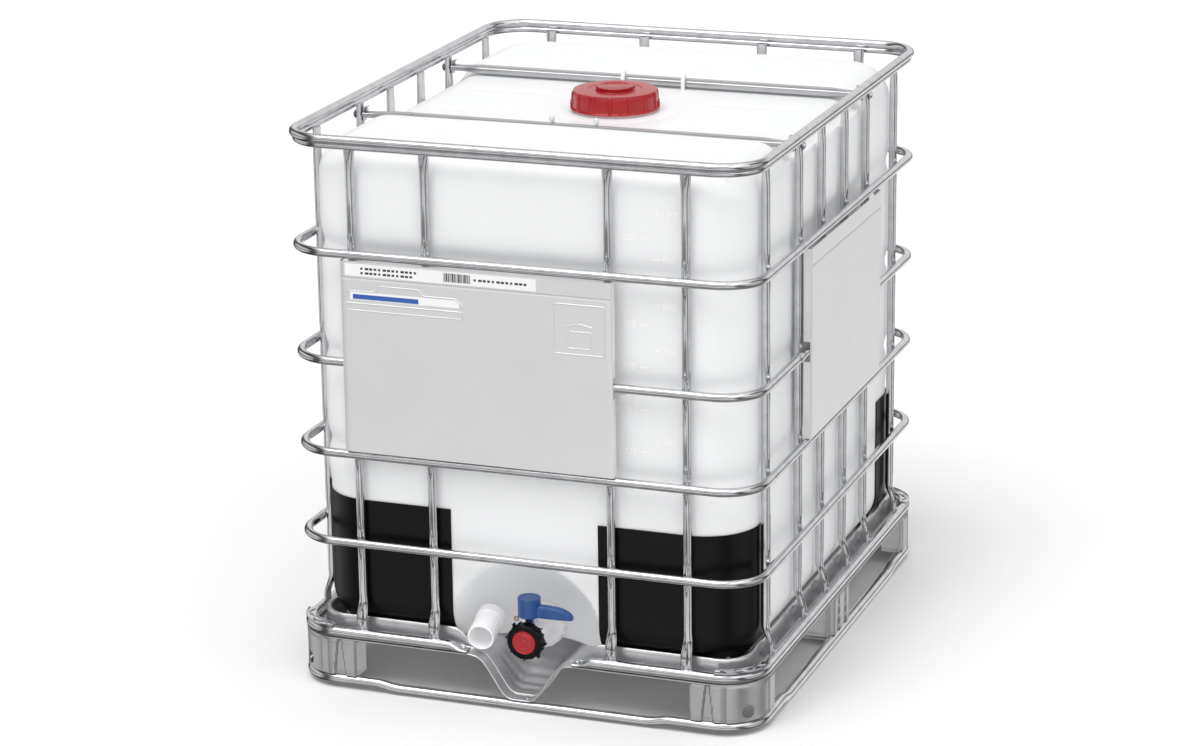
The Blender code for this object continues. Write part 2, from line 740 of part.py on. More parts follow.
def make_fill_cap():
    """The screw cap over the filler neck, its flat seal and the vent bung in its middle."""
    skirt_inner = NECK_R + 0.0012
    hole_r = BUNG_R + 0.0005
    profile = [
        (0.0860, CAP_TOP),
        (0.0900, CAP_TOP - 0.005),
        (0.0920, CAP_LOW + 0.004),
        (0.0930, CAP_LOW),
        (skirt_inner, CAP_LOW),
        (skirt_inner, CAP_PLATE_Z),
        (hole_r, CAP_PLATE_Z),
        (hole_r, CAP_TOP),
    ]
    turned("fill_cap", profile, RED_PE, (0, 0, 0), steps=36)
    seal = ring_profile(NECK_R - 0.0005, NECK_BORE_R + 0.0005, NECK_TOP + GAP, CAP_PLATE_Z - GAP)
    turned("fill_cap_seal", seal, SEAL_EPDM, (0, 0, 0))
    bung = [
        (0.0, CAP_TOP + 0.007),
        (BUNG_HEAD_R - 0.0015, CAP_TOP + 0.007),
        (BUNG_HEAD_R, CAP_TOP + 0.0055),
        (BUNG_HEAD_R, CAP_TOP + 0.0024),
        (BUNG_R, CAP_TOP + 0.0024),
        (BUNG_R, BUNG_LOW),
        (0.0, BUNG_LOW),
    ]
    turned("vent_bung", bung, RED_PE, (0, 0, 0), steps=28)
    washer = ring_profile(BUNG_HEAD_R - 0.0015, BUNG_R + GAP, CAP_TOP + GAP, CAP_TOP + 0.0021)
    turned("vent_bung_seal", washer, SEAL_EPDM, (0, 0, 0), steps=28)


# ---------------------------------------------------------------- outlet valve


def make_valve():
    """The butterfly valve: body and clamped flange, union nut, disc, handle, and the outlet cap."""
    place = (0, 0, VALVE_Z)
    body = [
        (0.0270, 0.5625),
        (0.0290, 0.5605),
        (0.0290, 0.5475),
        (0.0300, 0.5465),
        (0.0300, 0.4690),
        (0.0355, 0.4690),
        (0.0355, 0.4624),
        (VALVE_BORE_R, 0.4624),
        (VALVE_BORE_R, 0.5625),
    ]
    made = turned("valve_body", body, WHITE_PP, place, axis="-Y")
    boss_start = (0, STEM_Y, VALVE_Z + VALVE_BORE_R + 0.0015)
    boss = cylinder_tool("stem_boss", BOSS_R, boss_start, (0, STEM_Y, BOSS_TOP))
    boolean(made, boss, "UNION")
    stem_bore = cylinder_tool("stem_bore", STEM_BORE_R, (0, STEM_Y, VALVE_Z), (0, STEM_Y, HUB_Z0), 16)
    boolean(made, stem_bore)
    nut = [
        (0.0440, 0.4745),
        (0.0470, 0.4715),
        (0.0470, 0.4500),
        (0.0364, 0.4500),
        (0.0364, 0.4693),
        (0.0304, 0.4693),
        (0.0304, 0.4745),
    ]
    turned("valve_union_nut", nut, WHITE_PP, place, axis="-Y", steps=36)
    make_valve_disc()
    make_handle()
    cap = [
        (0.0290, 0.5735),
        (0.0350, 0.5700),
        (0.0385, 0.5630),
        (0.0390, 0.5490),
        (0.0304, 0.5490),
        (0.0304, 0.5630),
        (0.0254, 0.5630),
        (0.0254, 0.5735),
    ]
    turned("outlet_cap", cap, BLACK_PE, place, axis="-Y", steps=36)
    disc = disc_profile(0.0250, 0.5632, 0.5725)
    turned("outlet_cap_disc", disc, RED_PE, place, axis="-Y", steps=28)


def make_valve_disc():
    """The butterfly disc on its stem, closed across the bore; its origin is on the stem's axis."""
    place = (0, STEM_Y, 0.1690)
    centre = VALVE_Z - place[2]
    blade = cylinder_tool("disc_blade", VALVE_BORE_R - 0.0015, (0, -0.0025, centre), (0, 0.0025, centre))
    blade.location = place
    disc = turned("valve_disc", disc_profile(STEM_R, -0.0100, 0.0300), WHITE_PP, place, steps=16)
    boolean(disc, blade, "UNION")


def make_handle():
    """The blue quarter-turn handle, pointing to +X when closed, with its origin on the stem's axis."""
    place = (0, STEM_Y, HUB_Z0)
    height = HUB_Z1 - HUB_Z0
    neck_r, neck_low = 0.0085, BOSS_TOP + 0.0005 - HUB_Z0
    hub = [
        (0.0, height),
        (HUB_R - 0.0015, height),
        (HUB_R, height - 0.0015),
        (HUB_R, 0.0),
        (neck_r, 0.0),
        (neck_r, neck_low),
        (0.0, neck_low),
    ]
    handle = turned("valve_handle", hub, BLUE_PP, place, steps=24)
    base = 0.0005
    loops = []
    for x, half, crown in LEVER:
        loops.append([(x, -half, base), (x, half, base), (x, half * 0.8, crown), (x, -half * 0.8, crown)])
    lever = tool("lever", *loft_data(loops))
    lever.location = place
    boolean(handle, lever, "UNION")
    socket = cylinder_tool("stem_socket", STEM_BORE_R, (0, 0, -0.020), (0, 0, 0.0155), 16)
    socket.location = place
    boolean(handle, socket)


def make_spout():
    """The loose discharge spout, lying beside the valve with its collar to the back."""
    profile = [
        (SPOUT_R, SPOUT_LENGTH),
        (SPOUT_R, 0.026),
        (SPOUT_COLLAR_R, 0.024),
        (SPOUT_COLLAR_R, 0.0),
        (SPOUT_BORE_R, 0.0),
        (SPOUT_BORE_R, SPOUT_LENGTH),
    ]
    spout = turned("discharge_spout", profile, WHITE_PP, SPOUT_PLACE)
    spout.rotation_euler = Vector(SPOUT_DIRECTION).to_track_quat("Z", "Y").to_euler()


make_rings()
make_uprights()
make_crossbars()
make_bolts()
make_label_plate("label_plate_front", "front", -0.362, 0.206)
make_label_plate("label_plate_right", "right", -0.242, 0.262)
make_pan()
make_pallet_frame()
make_runners()
make_feet()
make_bottle()
make_protectors()
make_fill_cap()
make_valve()
make_spout()
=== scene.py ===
"""The looks of the intermediate bulk container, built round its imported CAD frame.

Metres, +Z up. The front, with the outlet valve, faces -Y, and +X is to the right seen from it.
"""

import json
from math import asin, cos, exp, hypot, pi, radians, sin, sqrt

import bmesh
import bpy
from mathutils import Matrix, Vector, noise

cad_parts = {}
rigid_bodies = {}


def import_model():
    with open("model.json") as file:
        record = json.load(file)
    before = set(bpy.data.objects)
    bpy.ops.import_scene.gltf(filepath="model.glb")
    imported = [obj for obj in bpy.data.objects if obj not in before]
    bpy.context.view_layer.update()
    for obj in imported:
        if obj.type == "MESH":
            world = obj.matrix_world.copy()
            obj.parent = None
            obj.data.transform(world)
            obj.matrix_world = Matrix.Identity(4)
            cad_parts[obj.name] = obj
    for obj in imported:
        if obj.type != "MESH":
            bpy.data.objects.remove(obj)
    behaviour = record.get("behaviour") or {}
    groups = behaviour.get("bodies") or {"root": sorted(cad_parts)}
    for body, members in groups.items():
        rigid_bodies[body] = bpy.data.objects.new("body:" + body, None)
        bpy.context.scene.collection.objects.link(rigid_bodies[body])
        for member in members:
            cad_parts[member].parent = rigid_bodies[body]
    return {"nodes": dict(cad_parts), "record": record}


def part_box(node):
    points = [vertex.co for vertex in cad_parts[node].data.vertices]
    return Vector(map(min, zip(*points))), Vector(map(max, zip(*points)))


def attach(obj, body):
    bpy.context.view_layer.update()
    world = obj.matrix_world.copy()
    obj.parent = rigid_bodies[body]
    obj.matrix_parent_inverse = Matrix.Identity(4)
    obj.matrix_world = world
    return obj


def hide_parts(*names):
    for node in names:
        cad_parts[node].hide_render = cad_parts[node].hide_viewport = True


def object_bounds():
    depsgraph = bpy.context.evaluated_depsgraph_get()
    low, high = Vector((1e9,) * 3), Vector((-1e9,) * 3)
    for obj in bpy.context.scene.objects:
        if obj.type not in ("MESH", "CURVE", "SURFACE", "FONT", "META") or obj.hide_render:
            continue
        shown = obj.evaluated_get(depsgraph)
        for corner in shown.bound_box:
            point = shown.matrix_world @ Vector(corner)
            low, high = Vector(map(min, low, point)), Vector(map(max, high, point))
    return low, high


for left_over in list(bpy.data.objects):
    bpy.data.objects.remove(left_over, do_unlink=True)
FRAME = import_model()
CAD_BOX = [list(corner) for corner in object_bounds()]

# ---------------------------------------------------------------- sizes taken from the frame

UP = Vector((0, 0, 1))
HALF_X, HALF_Y, HEIGHT = CAD_BOX[1]
RINGS = ("ring_upper", "ring_middle", "ring_lower", "ring_bottom")
SIDES = {
    "front": Vector((0, -1, 0)),
    "back": Vector((0, 1, 0)),
    "left": Vector((-1, 0, 0)),
    "right": Vector((1, 0, 0)),
}
CORNERS = ((1, -1), (1, 1), (-1, 1), (-1, -1))
MAIN_BODY = "container"
BODY_OF = {}
for body, nodes in FRAME["record"]["behaviour"]["bodies"].items():
    for node in nodes:
        BODY_OF[node] = body


def middle(node):
    """The middle of a CAD node's box."""
    low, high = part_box(node)
    return (low + high) / 2


RING_Z = {name: middle(name).z for name in RINGS}
RING_LOW, RING_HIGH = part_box("ring_upper")
TUBE_R = (RING_HIGH.z - RING_LOW.z) / 2
CAGE_X, CAGE_Y = RING_HIGH.x, RING_HIGH.y
CORNER_R = 0.095
UPRIGHTS = {}
POSTS = {}
for side, out in SIDES.items():
    UPRIGHTS[side] = [node for node in sorted(FRAME["nodes"]) if node.startswith(f"upright_{side}")]
    POSTS[side] = [middle(node).y if out.x else middle(node).x for node in UPRIGHTS[side]]
BAR_Y = middle("crossbar_back").y
UPRIGHT_LOW, UPRIGHT_HIGH = [corner.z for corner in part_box("upright_front_1")]
UPRIGHT_INSET = 0.0298
FOOT_INSET = 0.0165

FRAME_R = 0.011
FRAME_Z = middle("pallet_frame").z
FLANGE_Z = FRAME_Z - FRAME_R - 0.0003
RIDGE_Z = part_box("base_pan")[1].z
TROUGH_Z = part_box("base_pan")[0].z + 0.0015
TROUGH_END = 0.26

BOTTLE_X, BOTTLE_Y = 0.4560, 0.5560
BOTTLE_LOW, BOTTLE_HIGH = FLANGE_Z + 0.0003, 1.130
BOTTLE_CORNER_R, BOTTLE_BOTTOM_R, BOTTLE_TOP_R = 0.110, 0.080, 0.065
LOW_RIM, HIGH_RIM = BOTTLE_LOW + BOTTLE_BOTTOM_R, BOTTLE_HIGH - BOTTLE_TOP_R
BOTTLE_MIDDLE = (BOTTLE_LOW + BOTTLE_HIGH) / 2
BAND_Z, BAND_Y = 1.108, 0.262
VALVE_Z = middle("outlet_cap").z
RECESS_Y = -0.580
RECESS_WIDE, RECESS_DEEP = 0.168, 0.137
RECESS_EASE = 0.022

# ---------------------------------------------------------------- finishes


def link(tree, source, target):
    """Joins two sockets."""
    tree.links.new(source, target)


def grain_node(tree, scale, detail, stretch=(1, 1, 1)):
    """Noise in the piece's own metres."""
    coords = tree.nodes.new("ShaderNodeTexCoord")
    mapping = tree.nodes.new("ShaderNodeMapping")
    mapping.inputs["Scale"].default_value = stretch
    grain = tree.nodes.new("ShaderNodeTexNoise")
    grain.inputs["Scale"].default_value = scale
    grain.inputs["Detail"].default_value = detail
    link(tree, coords.outputs["Object"], mapping.inputs["Vector"])
    link(tree, mapping.outputs["Vector"], grain.inputs["Vector"])
    return grain


ROUGH_SPREAD = 0.06


def finish(name, colour, roughness, tint=0.05, cloud=9, grain=350, bump=0.00005, **sockets):
    """A Principled material whose colour and roughness drift, with fine relief on its surface."""
    made = bpy.data.materials.new(name)
    made.use_nodes = True
    tree = made.node_tree
    shader = tree.nodes["Principled BSDF"]
    for socket, value in sockets.items():
        shader.inputs[socket.replace("_", " ")].default_value = value
    clouds = grain_node(tree, cloud, 5)
    ramp = tree.nodes.new("ShaderNodeValToRGB")
    darker, lighter = ramp.color_ramp.elements
    darker.position, lighter.position = 0.30, 0.70
    darker.color = (*[c * (1 - tint) for c in colour], 1)
    lighter.color = (*[min(c * (1 + tint), 1) for c in colour], 1)
    link(tree, clouds.outputs["Fac"], ramp.inputs["Fac"])
    link(tree, ramp.outputs["Color"], shader.inputs["Base Color"])
    spread = tree.nodes.new("ShaderNodeMapRange")
    spread.inputs["To Min"].default_value = max(roughness - ROUGH_SPREAD, 0.02)
    spread.inputs["To Max"].default_value = roughness + ROUGH_SPREAD
    link(tree, clouds.outputs["Fac"], spread.inputs["Value"])
    link(tree, spread.outputs["Result"], shader.inputs["Roughness"])
    relief = tree.nodes.new("ShaderNodeBump")
    relief.inputs["Strength"].default_value = 0.6
    relief.inputs["Distance"].default_value = bump
    link(tree, grain_node(tree, grain, 3).outputs["Fac"], relief.inputs["Height"])
    link(tree, relief.outputs["Normal"], shader.inputs["Normal"])
    return made


TUBE = finish("galvanised_tube", (0.62, 0.625, 0.64), 0.19, tint=0.12, cloud=30, Metallic=1.0)
SHEET = finish("galvanised_sheet", (0.66, 0.66, 0.67), 0.34, tint=0.10, cloud=22, grain=160, Metallic=0.85)
# painted shade: a darker copy of the galvanised sheet, so the feet read darker than the pan
FOOT_SHEET_PAINTED_SHADE = finish("foot_sheet_painted_shade", (0.50, 0.50, 0.505), 0.36, tint=0.08, cloud=22, grain=160, Metallic=0.85)
# painted shade: a darker copy of the galvanised tube finish, so the flattened crossbars read mid-grey
FLAT_TUBE_PAINTED_SHADE = finish("flat_tube_painted_shade", (0.50, 0.505, 0.515), 0.30, tint=0.06, cloud=26, Metallic=0.9)
LABEL = finish("label_sheet", (0.86, 0.86, 0.865), 0.42, tint=0.03, cloud=6, Metallic=0.70)
BOLT = finish("zinc_bolt", (0.56, 0.56, 0.58), 0.26, tint=0.08, cloud=60, Metallic=1.0)
HDPE = finish(
    "natural_hdpe",
    (0.80, 0.805, 0.81),
    0.40,
    tint=0.012,
    cloud=5,
    grain=220,
    Subsurface_Weight=0.25,
    Subsurface_Radius=(0.03, 0.03, 0.03),
    Subsurface_Scale=0.4,
    # painted glow: the faint white emission lifts the bottle's shaded parts, such as the outlet recess; the
    # plastic is no lamp
    Emission_Color=(0.96, 0.98, 1.0, 1.0),
    Emission_Strength=0.09,
)
WHITE = finish(
    "white_moulding",
    (0.87, 0.87, 0.88),
    0.30,
    tint=0.02,
    Subsurface_Weight=0.10,
    Subsurface_Scale=0.01,
    # painted glow: the faint white emission lifts the shade on the white mouldings; they are no lamp
    Emission_Color=(1.0, 1.0, 1.0, 1.0),
    Emission_Strength=0.08,
)
RED = finish("red_moulding", (0.40, 0.006, 0.010), 0.30, tint=0.07, cloud=40, Coat_Weight=0.15)
BLACK = finish(
    "black_moulding",
    (0.003, 0.003, 0.0035),
    0.34,
    tint=0.20,
    cloud=14,
    grain=260,
    Specular_IOR_Level=0.18,
)
BLUE = finish("blue_moulding", (0.014, 0.070, 0.27), 0.33, tint=0.06, cloud=40, Coat_Weight=0.10)
SEAL = finish("grey_seal", (0.20, 0.20, 0.21), 0.60, tint=0.10)
PAPER = finish("sticker_white", (0.88, 0.88, 0.88), 0.50, tint=0.01)
INK = finish("sticker_ink", (0.03, 0.03, 0.035), 0.55, tint=0.05)
CARD_BLUE = finish("card_blue", (0.03, 0.10, 0.42), 0.50, tint=0.03)
BRASS = finish("seal_brass", (0.42, 0.22, 0.12), 0.30, tint=0.10, cloud=60, Metallic=1.0)
MARK = finish("scale_mark", (0.97, 0.97, 0.97), 0.55, tint=0.01)

# ---------------------------------------------------------------- shapes, each a pair of points and faces


def smoothstep(value):
    """0 below 0, 1 above 1, and a smooth rise between."""
    value = min(max(value, 0.0), 1.0)
    return value * value * (3 - 2 * value)


def mix(first, second, share):
    """A point or number between two."""
    return first + (second - first) * share


def sign(value):
    """1 for a positive number, -1 for any other."""
    return 1 if value > 0 else -1


def span(start, end, count):
    """Evenly spaced values from start to end, with count steps between them."""
    return [mix(start, end, i / count) for i in range(count + 1)]


def grid(rows, around=False, cyclic=False, cap_first=False, cap_last=False):
    """A skin through rows of points. around closes each row, cyclic joins the last row to the first."""
    count = len(rows[0])
    points = [tuple(p) for row in rows for p in row]
    faces = []
    for row in range(len(rows) if cyclic else len(rows) - 1):
        low, high = row * count, ((row + 1) % len(rows)) * count
        for i in range(count if around else count - 1):
            j = (i + 1) % count
            faces.append((low + i, low + j, high + j, high + i))
    if cap_first:
        faces.append(tuple(range(count)))
    if cap_last:
        faces.append(tuple(range(len(points) - count, len(points))))
    return points, faces


def solid(rows):
    """A closed form through rows that each go round it."""
    return grid(rows, around=True, cap_first=True, cap_last=True)


def rounded(corners, radius, steps=4, closed=True):
    """An outline or a path with each of its corners cut back by radius and bent round."""
    corners = [Vector(c) for c in corners]
    count = len(corners)
    out = []
    for i, corner in enumerate(corners):
        if not closed and i in (0, count - 1):
            out.append(corner)
            continue
        before, after = corners[i - 1], corners[(i + 1) % count]
        start = corner + (before - corner) * min(radius / max((before - corner).length, 1e-6), 0.48)
        end = corner + (after - corner) * min(radius / max((after - corner).length, 1e-6), 0.48)
        for step in range(steps + 1):
            t = step / steps
            out.append(start * (1 - t) ** 2 + corner * 2 * t * (1 - t) + end * t**2)
    return out


def circle(radius, sides=18):
    """A round section."""
    return [(radius * cos(2 * pi * i / sides), radius * sin(2 * pi * i / sides)) for i in range(sides)]


def oval(half_a, half_b, power=2.0, sides=24):
    """A section between an oval (power 2) and a rectangle (high power)."""
    out = []
    for c, s in circle(1, sides):
        a = abs(c) ** (2 / power) * sign(c)
        b = abs(s) ** (2 / power) * sign(s)
        out.append((half_a * a, half_b * b))
    return out


def swept(path, section, up=UP, cyclic=False):
    """A section carried along a path, its second axis kept near up.

    section may be a function of the point's index along the path.
    """
    path = [Vector(p) for p in path]
    count = len(path)
    rows = []
    for i, place in enumerate(path):
        before = path[i - 1] if cyclic or i else place
        after = path[(i + 1) % count] if cyclic or i < count - 1 else place
        ahead = (after - before).normalized()
        side = ahead.cross(up).normalized()
        lift = side.cross(ahead)
        shape = section(i) if callable(section) else section
        rows.append([place + side * a + lift * b for a, b in shape])
    return grid(rows, around=True, cyclic=cyclic, cap_first=not cyclic, cap_last=not cyclic)


def turned(profile, origin, direction=UP, steps=64, radial=None):
    """A closed outline of (radius, height) pairs turned about an axis.

    radial gives a change of radius for an angle, a radius and a height.
    """
    turn = Vector(direction).to_track_quat("Z", "Y").to_matrix()
    origin = Vector(origin)
    rows = []
    for step in range(steps):
        angle = 2 * pi * step / steps
        row = []
        for radius, height in profile:
            if radial and radius > 0:
                radius += radial(angle, radius, height)
            row.append(origin + turn @ Vector((radius * cos(angle), radius * sin(angle), height)))
        rows.append(row)
    return grid(rows, around=profile[0][0] > 0, cyclic=True)


def block(low, high, edge=0.0008):
    """A box with rounded upright edges, from its lowest to its highest corner."""
    low, high = Vector(low), Vector(high)
    outline = [(low.x, low.y), (high.x, low.y), (high.x, high.y), (low.x, high.y)]
    outline = rounded(outline, edge, 3)
    rim = min(edge, (high.z - low.z) / 2) * 0.6
    centre = Vector(((low.x + high.x) / 2, (low.y + high.y) / 2))
    rows = []
    for z, inwards in ((low.z, rim), (low.z + rim, 0), (high.z - rim, 0), (high.z, rim)):
        level = []
        for corner in outline:
            away = corner - centre
            level.append((corner.x - inwards * sign(away.x), corner.y - inwards * sign(away.y), z))
        rows.append(level)
    return solid(rows)


def moved(shape, matrix):
    """A shape carried by a matrix."""
    points, faces = shape
    return [tuple(matrix @ Vector(p)) for p in points], faces


def build(name, shapes, material, crease=32, thickness=None, cutters=()):
    """Makes one object of several shapes.

    A piece named after a CAD node stands for that node and rides on its body. Any other is a detail of the
    main body.
    """
    points, faces = [], []
    for more_points, more_faces in shapes:
        start = len(points)
        points += more_points
        faces += [tuple(start + i for i in face) for face in more_faces]
    mesh = bpy.data.meshes.new(name)
    mesh.from_pydata(points, [], faces)
    shape = bmesh.new()
    shape.from_mesh(mesh)
    bmesh.ops.remove_doubles(shape, verts=shape.verts, dist=0.000002)
    bmesh.ops.recalc_face_normals(shape, faces=shape.faces)
    shape.to_mesh(mesh)
    shape.free()
    mesh.materials.append(material)
    obj = bpy.data.objects.new(name, mesh)
    bpy.context.scene.collection.objects.link(obj)
    if thickness:
        solid = obj.modifiers.new("thickness", "SOLIDIFY")
        solid.thickness = thickness
        solid.offset = 0.0
    for tool in cutters:
        cut = obj.modifiers.new("cut", "BOOLEAN")
        cut.operation = "DIFFERENCE"
        cut.solver = "EXACT"
        cut.object = tool
    if thickness or cutters:
        bake_modifiers(obj)
    obj.data.shade_smooth()
    obj.data.set_sharp_from_angle(angle=radians(crease))
    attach(obj, BODY_OF.get(name, MAIN_BODY))
    if name in BODY_OF:
        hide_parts(name)


def bake_modifiers(obj):
    """Turns an object's modifiers into its mesh."""
    bpy.context.view_layer.update()
    shown = obj.evaluated_get(bpy.context.evaluated_depsgraph_get())
    mesh = bpy.data.meshes.new_from_object(shown)
    obj.modifiers.clear()
    obj.data = mesh


def cutter(name, shape):
    """A closed shape used once to cut another, and then removed."""
    points, faces = shape
    mesh = bpy.data.meshes.new(name)
    mesh.from_pydata(points, [], faces)
    obj = bpy.data.objects.new(name, mesh)
    bpy.context.scene.collection.objects.link(obj)
    return obj


# ---------------------------------------------------------------- outlines


def arc(centre_x, centre_y, radius, start, end, steps):
    """Points on an arc, angles in degrees."""
    turns = [radians(start + (end - start) * i / steps) for i in range(steps + 1)]
    return [(centre_x + radius * cos(a), centre_y + radius * sin(a)) for a in turns]


def loop(half_x, half_y, corner, steps=12, spacing=None):
    """A rounded rectangle, counter-clockwise from the left end of its front edge."""
    cx, cy = half_x - corner, half_y - corner
    out = []
    for turn, (sx, sy) in enumerate(CORNERS):
        if spacing:
            start = ((-cx, -half_y), (half_x, -cy), (cx, half_y), (-half_x, cy))[turn]
            end = ((cx, -half_y), (half_x, cy), (-cx, half_y), (-half_x, -cy))[turn]
            pieces = max(int((Vector(end) - Vector(start)).length / spacing), 1)
            out += [tuple(mix(Vector(start), Vector(end), i / pieces)) for i in range(1, pieces)]
        out += arc(sx * cx, sy * cy, corner, turn * 90 - 90, turn * 90, steps)
    return out


def wall(side, along, inset, z):
    """A point at a distance inside one face of the container."""
    out = SIDES[side]
    if out.x:
        return Vector((out.x * (HALF_X - inset), along, z))
    return Vector((along, out.y * (HALF_Y - inset), z))


# ---------------------------------------------------------------- cage


def make_rings():
    """The four round hoops, and the sleeve over one hoop's joint."""
    for name, z in RING_Z.items():
        outline = loop(CAGE_X - TUBE_R, CAGE_Y - TUBE_R, CORNER_R - TUBE_R, 16)
        path = [(x, y, z) for x, y in outline]
        build(name, [swept(path, circle(TUBE_R, 24), cyclic=True)], TUBE)
    sleeve = [(CAGE_X - TUBE_R, y, RING_Z["ring_middle"]) for y in (-0.305, -0.303, -0.270, -0.268)]
    sizes = (TUBE_R + 0.0003, TUBE_R + 0.0012, TUBE_R + 0.0012, TUBE_R + 0.0003)
    build("hoop_sleeve", [swept(sleeve, lambda i: circle(sizes[i], 24))], TUBE, crease=40)


BEAD_R, LIP_R, LIP_IN, LIP_DROP = 0.0095, 0.0062, 0.0027, 0.0130


def make_top_ring():
    """The top ring: a bead with a smaller lip pressed under it, set inwards."""
    reach = hypot(LIP_IN, LIP_DROP)
    lean = asin(LIP_IN / reach)
    along = (reach**2 + BEAD_R**2 - LIP_R**2) / (2 * reach)
    half_chord = sqrt(BEAD_R**2 - along**2)
    down = -90 - lean * 180 / pi
    bead_gap = asin(half_chord / BEAD_R) * 180 / pi
    lip_gap = asin(half_chord / LIP_R) * 180 / pi
    bead = arc(0, 0, BEAD_R, down + bead_gap, down + 360 - bead_gap, 20)
    lip = arc(-LIP_IN, -LIP_DROP, LIP_R, down - 180 + lip_gap, down + 180 - lip_gap, 14)
    section = bead[:-1] + lip[:-1]
    outline = loop(CAGE_X - BEAD_R, CAGE_Y - BEAD_R, CORNER_R - BEAD_R, 16)
    path = [(x, y, HEIGHT - BEAD_R) for x, y in outline]
    build("top_ring", [swept(path, section, cyclic=True)], TUBE, crease=50)


ARCH_HEIGHT, ARCH_HALF = 0.036, 0.0064
VEE_HEIGHT, VEE_HALF = 0.040, 0.0066
GROOVE_DEPTH, GROOVE_HALF = 0.0036, 0.0017


def pressing(lateral, above):
    """Depth of the pressing beside a hoop: an arch above it and a vee below it, each round a tongue."""
    if above > 0:
        if above > ARCH_HEIGHT:
            return 0.0
        half = ARCH_HALF * sqrt(max(1 - (above / ARCH_HEIGHT) ** 3, 0))
    else:
        if -above > VEE_HEIGHT:
            return 0.0
        half = VEE_HALF * (1 + above / VEE_HEIGHT)
    within = half - abs(lateral)
    if within < -GROOVE_HALF:
        return 0.0
    groove = exp(-(((within - GROOVE_HALF) / GROOVE_HALF) ** 2))
    return GROOVE_DEPTH * groove


def upright_levels():
    """Heights of the rows up an upright, close together where its shape changes."""
    spans = [(UPRIGHT_LOW, UPRIGHT_LOW + 0.075, 0.0030), (UPRIGHT_HIGH - 0.070, UPRIGHT_HIGH, 0.0025)]
    for z in RING_Z.values():
        spans.append((z - VEE_HEIGHT, z + ARCH_HEIGHT, 0.0022))
    levels = []
    for low, high, step in spans:
        levels += span(low, high, round((high - low) / step))
    return sorted(levels)


def upright_section(z):
    """Half width, half depth and inset of an upright at a height: spread flat at both of its ends."""
    foot = smoothstep((z - UPRIGHT_LOW - 0.022) / 0.050)
    head = smoothstep((UPRIGHT_HIGH - z - 0.006) / 0.055)
    wide = TUBE_R + 0.0032 * (1 - foot) + 0.0026 * (1 - head)
    deep = TUBE_R - 0.0032 * (1 - foot) - 0.0018 * (1 - head)
    bow = smoothstep((z - UPRIGHT_LOW - 0.014) / 0.046)
    return wide, deep, mix(FOOT_INSET, UPRIGHT_INSET, bow)


def head_pressing(lateral, z):
    """Depth of the vee pressed into the spread head."""
    down = UPRIGHT_HIGH - 0.004 - z
    if not 0 < down < 0.030:
        return 0.0
    half = 0.0085 * (1 - down / 0.030)
    return 0.0042 * smoothstep((half - abs(lateral)) / 0.0022)


def foot_pressing(lateral, z):
    """Depth of the teardrop pressed into the spread foot, and of the two small dents below it."""
    up = z - UPRIGHT_LOW
    if up < 0.006:
        return 0.0022 * exp(-(((abs(lateral) - 0.0055) / 0.0024) ** 2))
    half = 0.0088 * smoothstep((up - 0.006) / 0.008) * (1 - smoothstep((up - 0.012) / 0.050))
    if half <= 0.0005:
        return 0.0
    return 0.0030 * (1 - smoothstep(abs(lateral) / half)) * smoothstep(half / 0.005)


FACE_ANGLES = [radians(a) for a in range(-84, 85, 7)]
BACK_ANGLES = [radians(a) for a in (105, 130, 155, 180, 205, 230, 255)]


def make_uprights():
    """Twenty uprights with the pressings of their welds."""
    levels = upright_levels()
    for side, names in UPRIGHTS.items():
        out = SIDES[side]
        across = UP.cross(out)
        for name, along in zip(names, POSTS[side]):
            rows = []
            for z in levels:
                wide, deep, inset = upright_section(z)
                centre = wall(side, along, inset, z)
                row = []
                for angle in FACE_ANGLES + BACK_ANGLES:
                    a, b = wide * sin(angle), deep * cos(angle)
                    if b > 0:
                        b -= sum(pressing(a, z - ring) for ring in RING_Z.values()) * cos(angle) ** 0.5
                        b -= head_pressing(a, z) + foot_pressing(a, z)
                    row.append(centre + across * a + out * b)
                rows.append(row)
            shape = solid(rows)
            build(name, [shape], TUBE, crease=60)


BAR_WIDE, BAR_DEEP = 0.018, 0.008
BAR_Z = middle("crossbar_front").z


def make_crossbars():
    """Two flattened tubes over the bottle, pinched at their ends and rolled along their edges."""
    for name in ("crossbar_front", "crossbar_back"):
        low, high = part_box(name)
        y = (low.y + high.y) / 2
        reach = (0, 0.1, 0.2, 0.3, 0.385, 0.395, 0.405, 0.415, 0.425, 0.435, 0.445, high.x)
        rows = []
        for x in sorted({s * x for x in reach for s in (1, -1)}):
            slim = smoothstep((abs(x) - 0.390) / 0.050)
            section = oval(BAR_WIDE * (1 - 0.34 * slim), BAR_DEEP * (1 - 0.3 * slim), 4.0, 44)
            row = []
            for a, b in section:
                trough = 0.0010 * exp(-(((abs(a) - 0.0115) / 0.0022) ** 2)) * (1 - slim) if b > 0 else 0
                row.append((x, y + a, BAR_Z + b - trough))
            rows.append(row)
        build(name, [solid(rows)], FLAT_TUBE_PAINTED_SHADE, crease=50)


def make_bar_brackets():
    """The bent clips that hold each crossbar's end against its upright."""
    shapes = []
    for sign in (-1, 1):
        for y in (-BAR_Y, BAR_Y):
            x = HALF_X - UPRIGHT_INSET - TUBE_R - 0.0006
            outline = [(x, 1.106), (x - 0.0012, 1.106), (x - 0.0012, 1.1330), (x - 0.0100, 1.1360)]
            outline += [(x - 0.0100, 1.1372), (x, 1.1342)]
            rows = []
            for along in (-0.0085, 0.0085):
                rows.append([(sign * px, y + along, pz) for px, pz in outline])
            shapes.append(solid(rows))
            nut = hex_head((sign * (x - 0.0012), y + 0.003, 1.1290), (-sign, 0, 0), 0.0048, 0.0040)
            shapes += nut
    build("bar_brackets", shapes, BOLT)


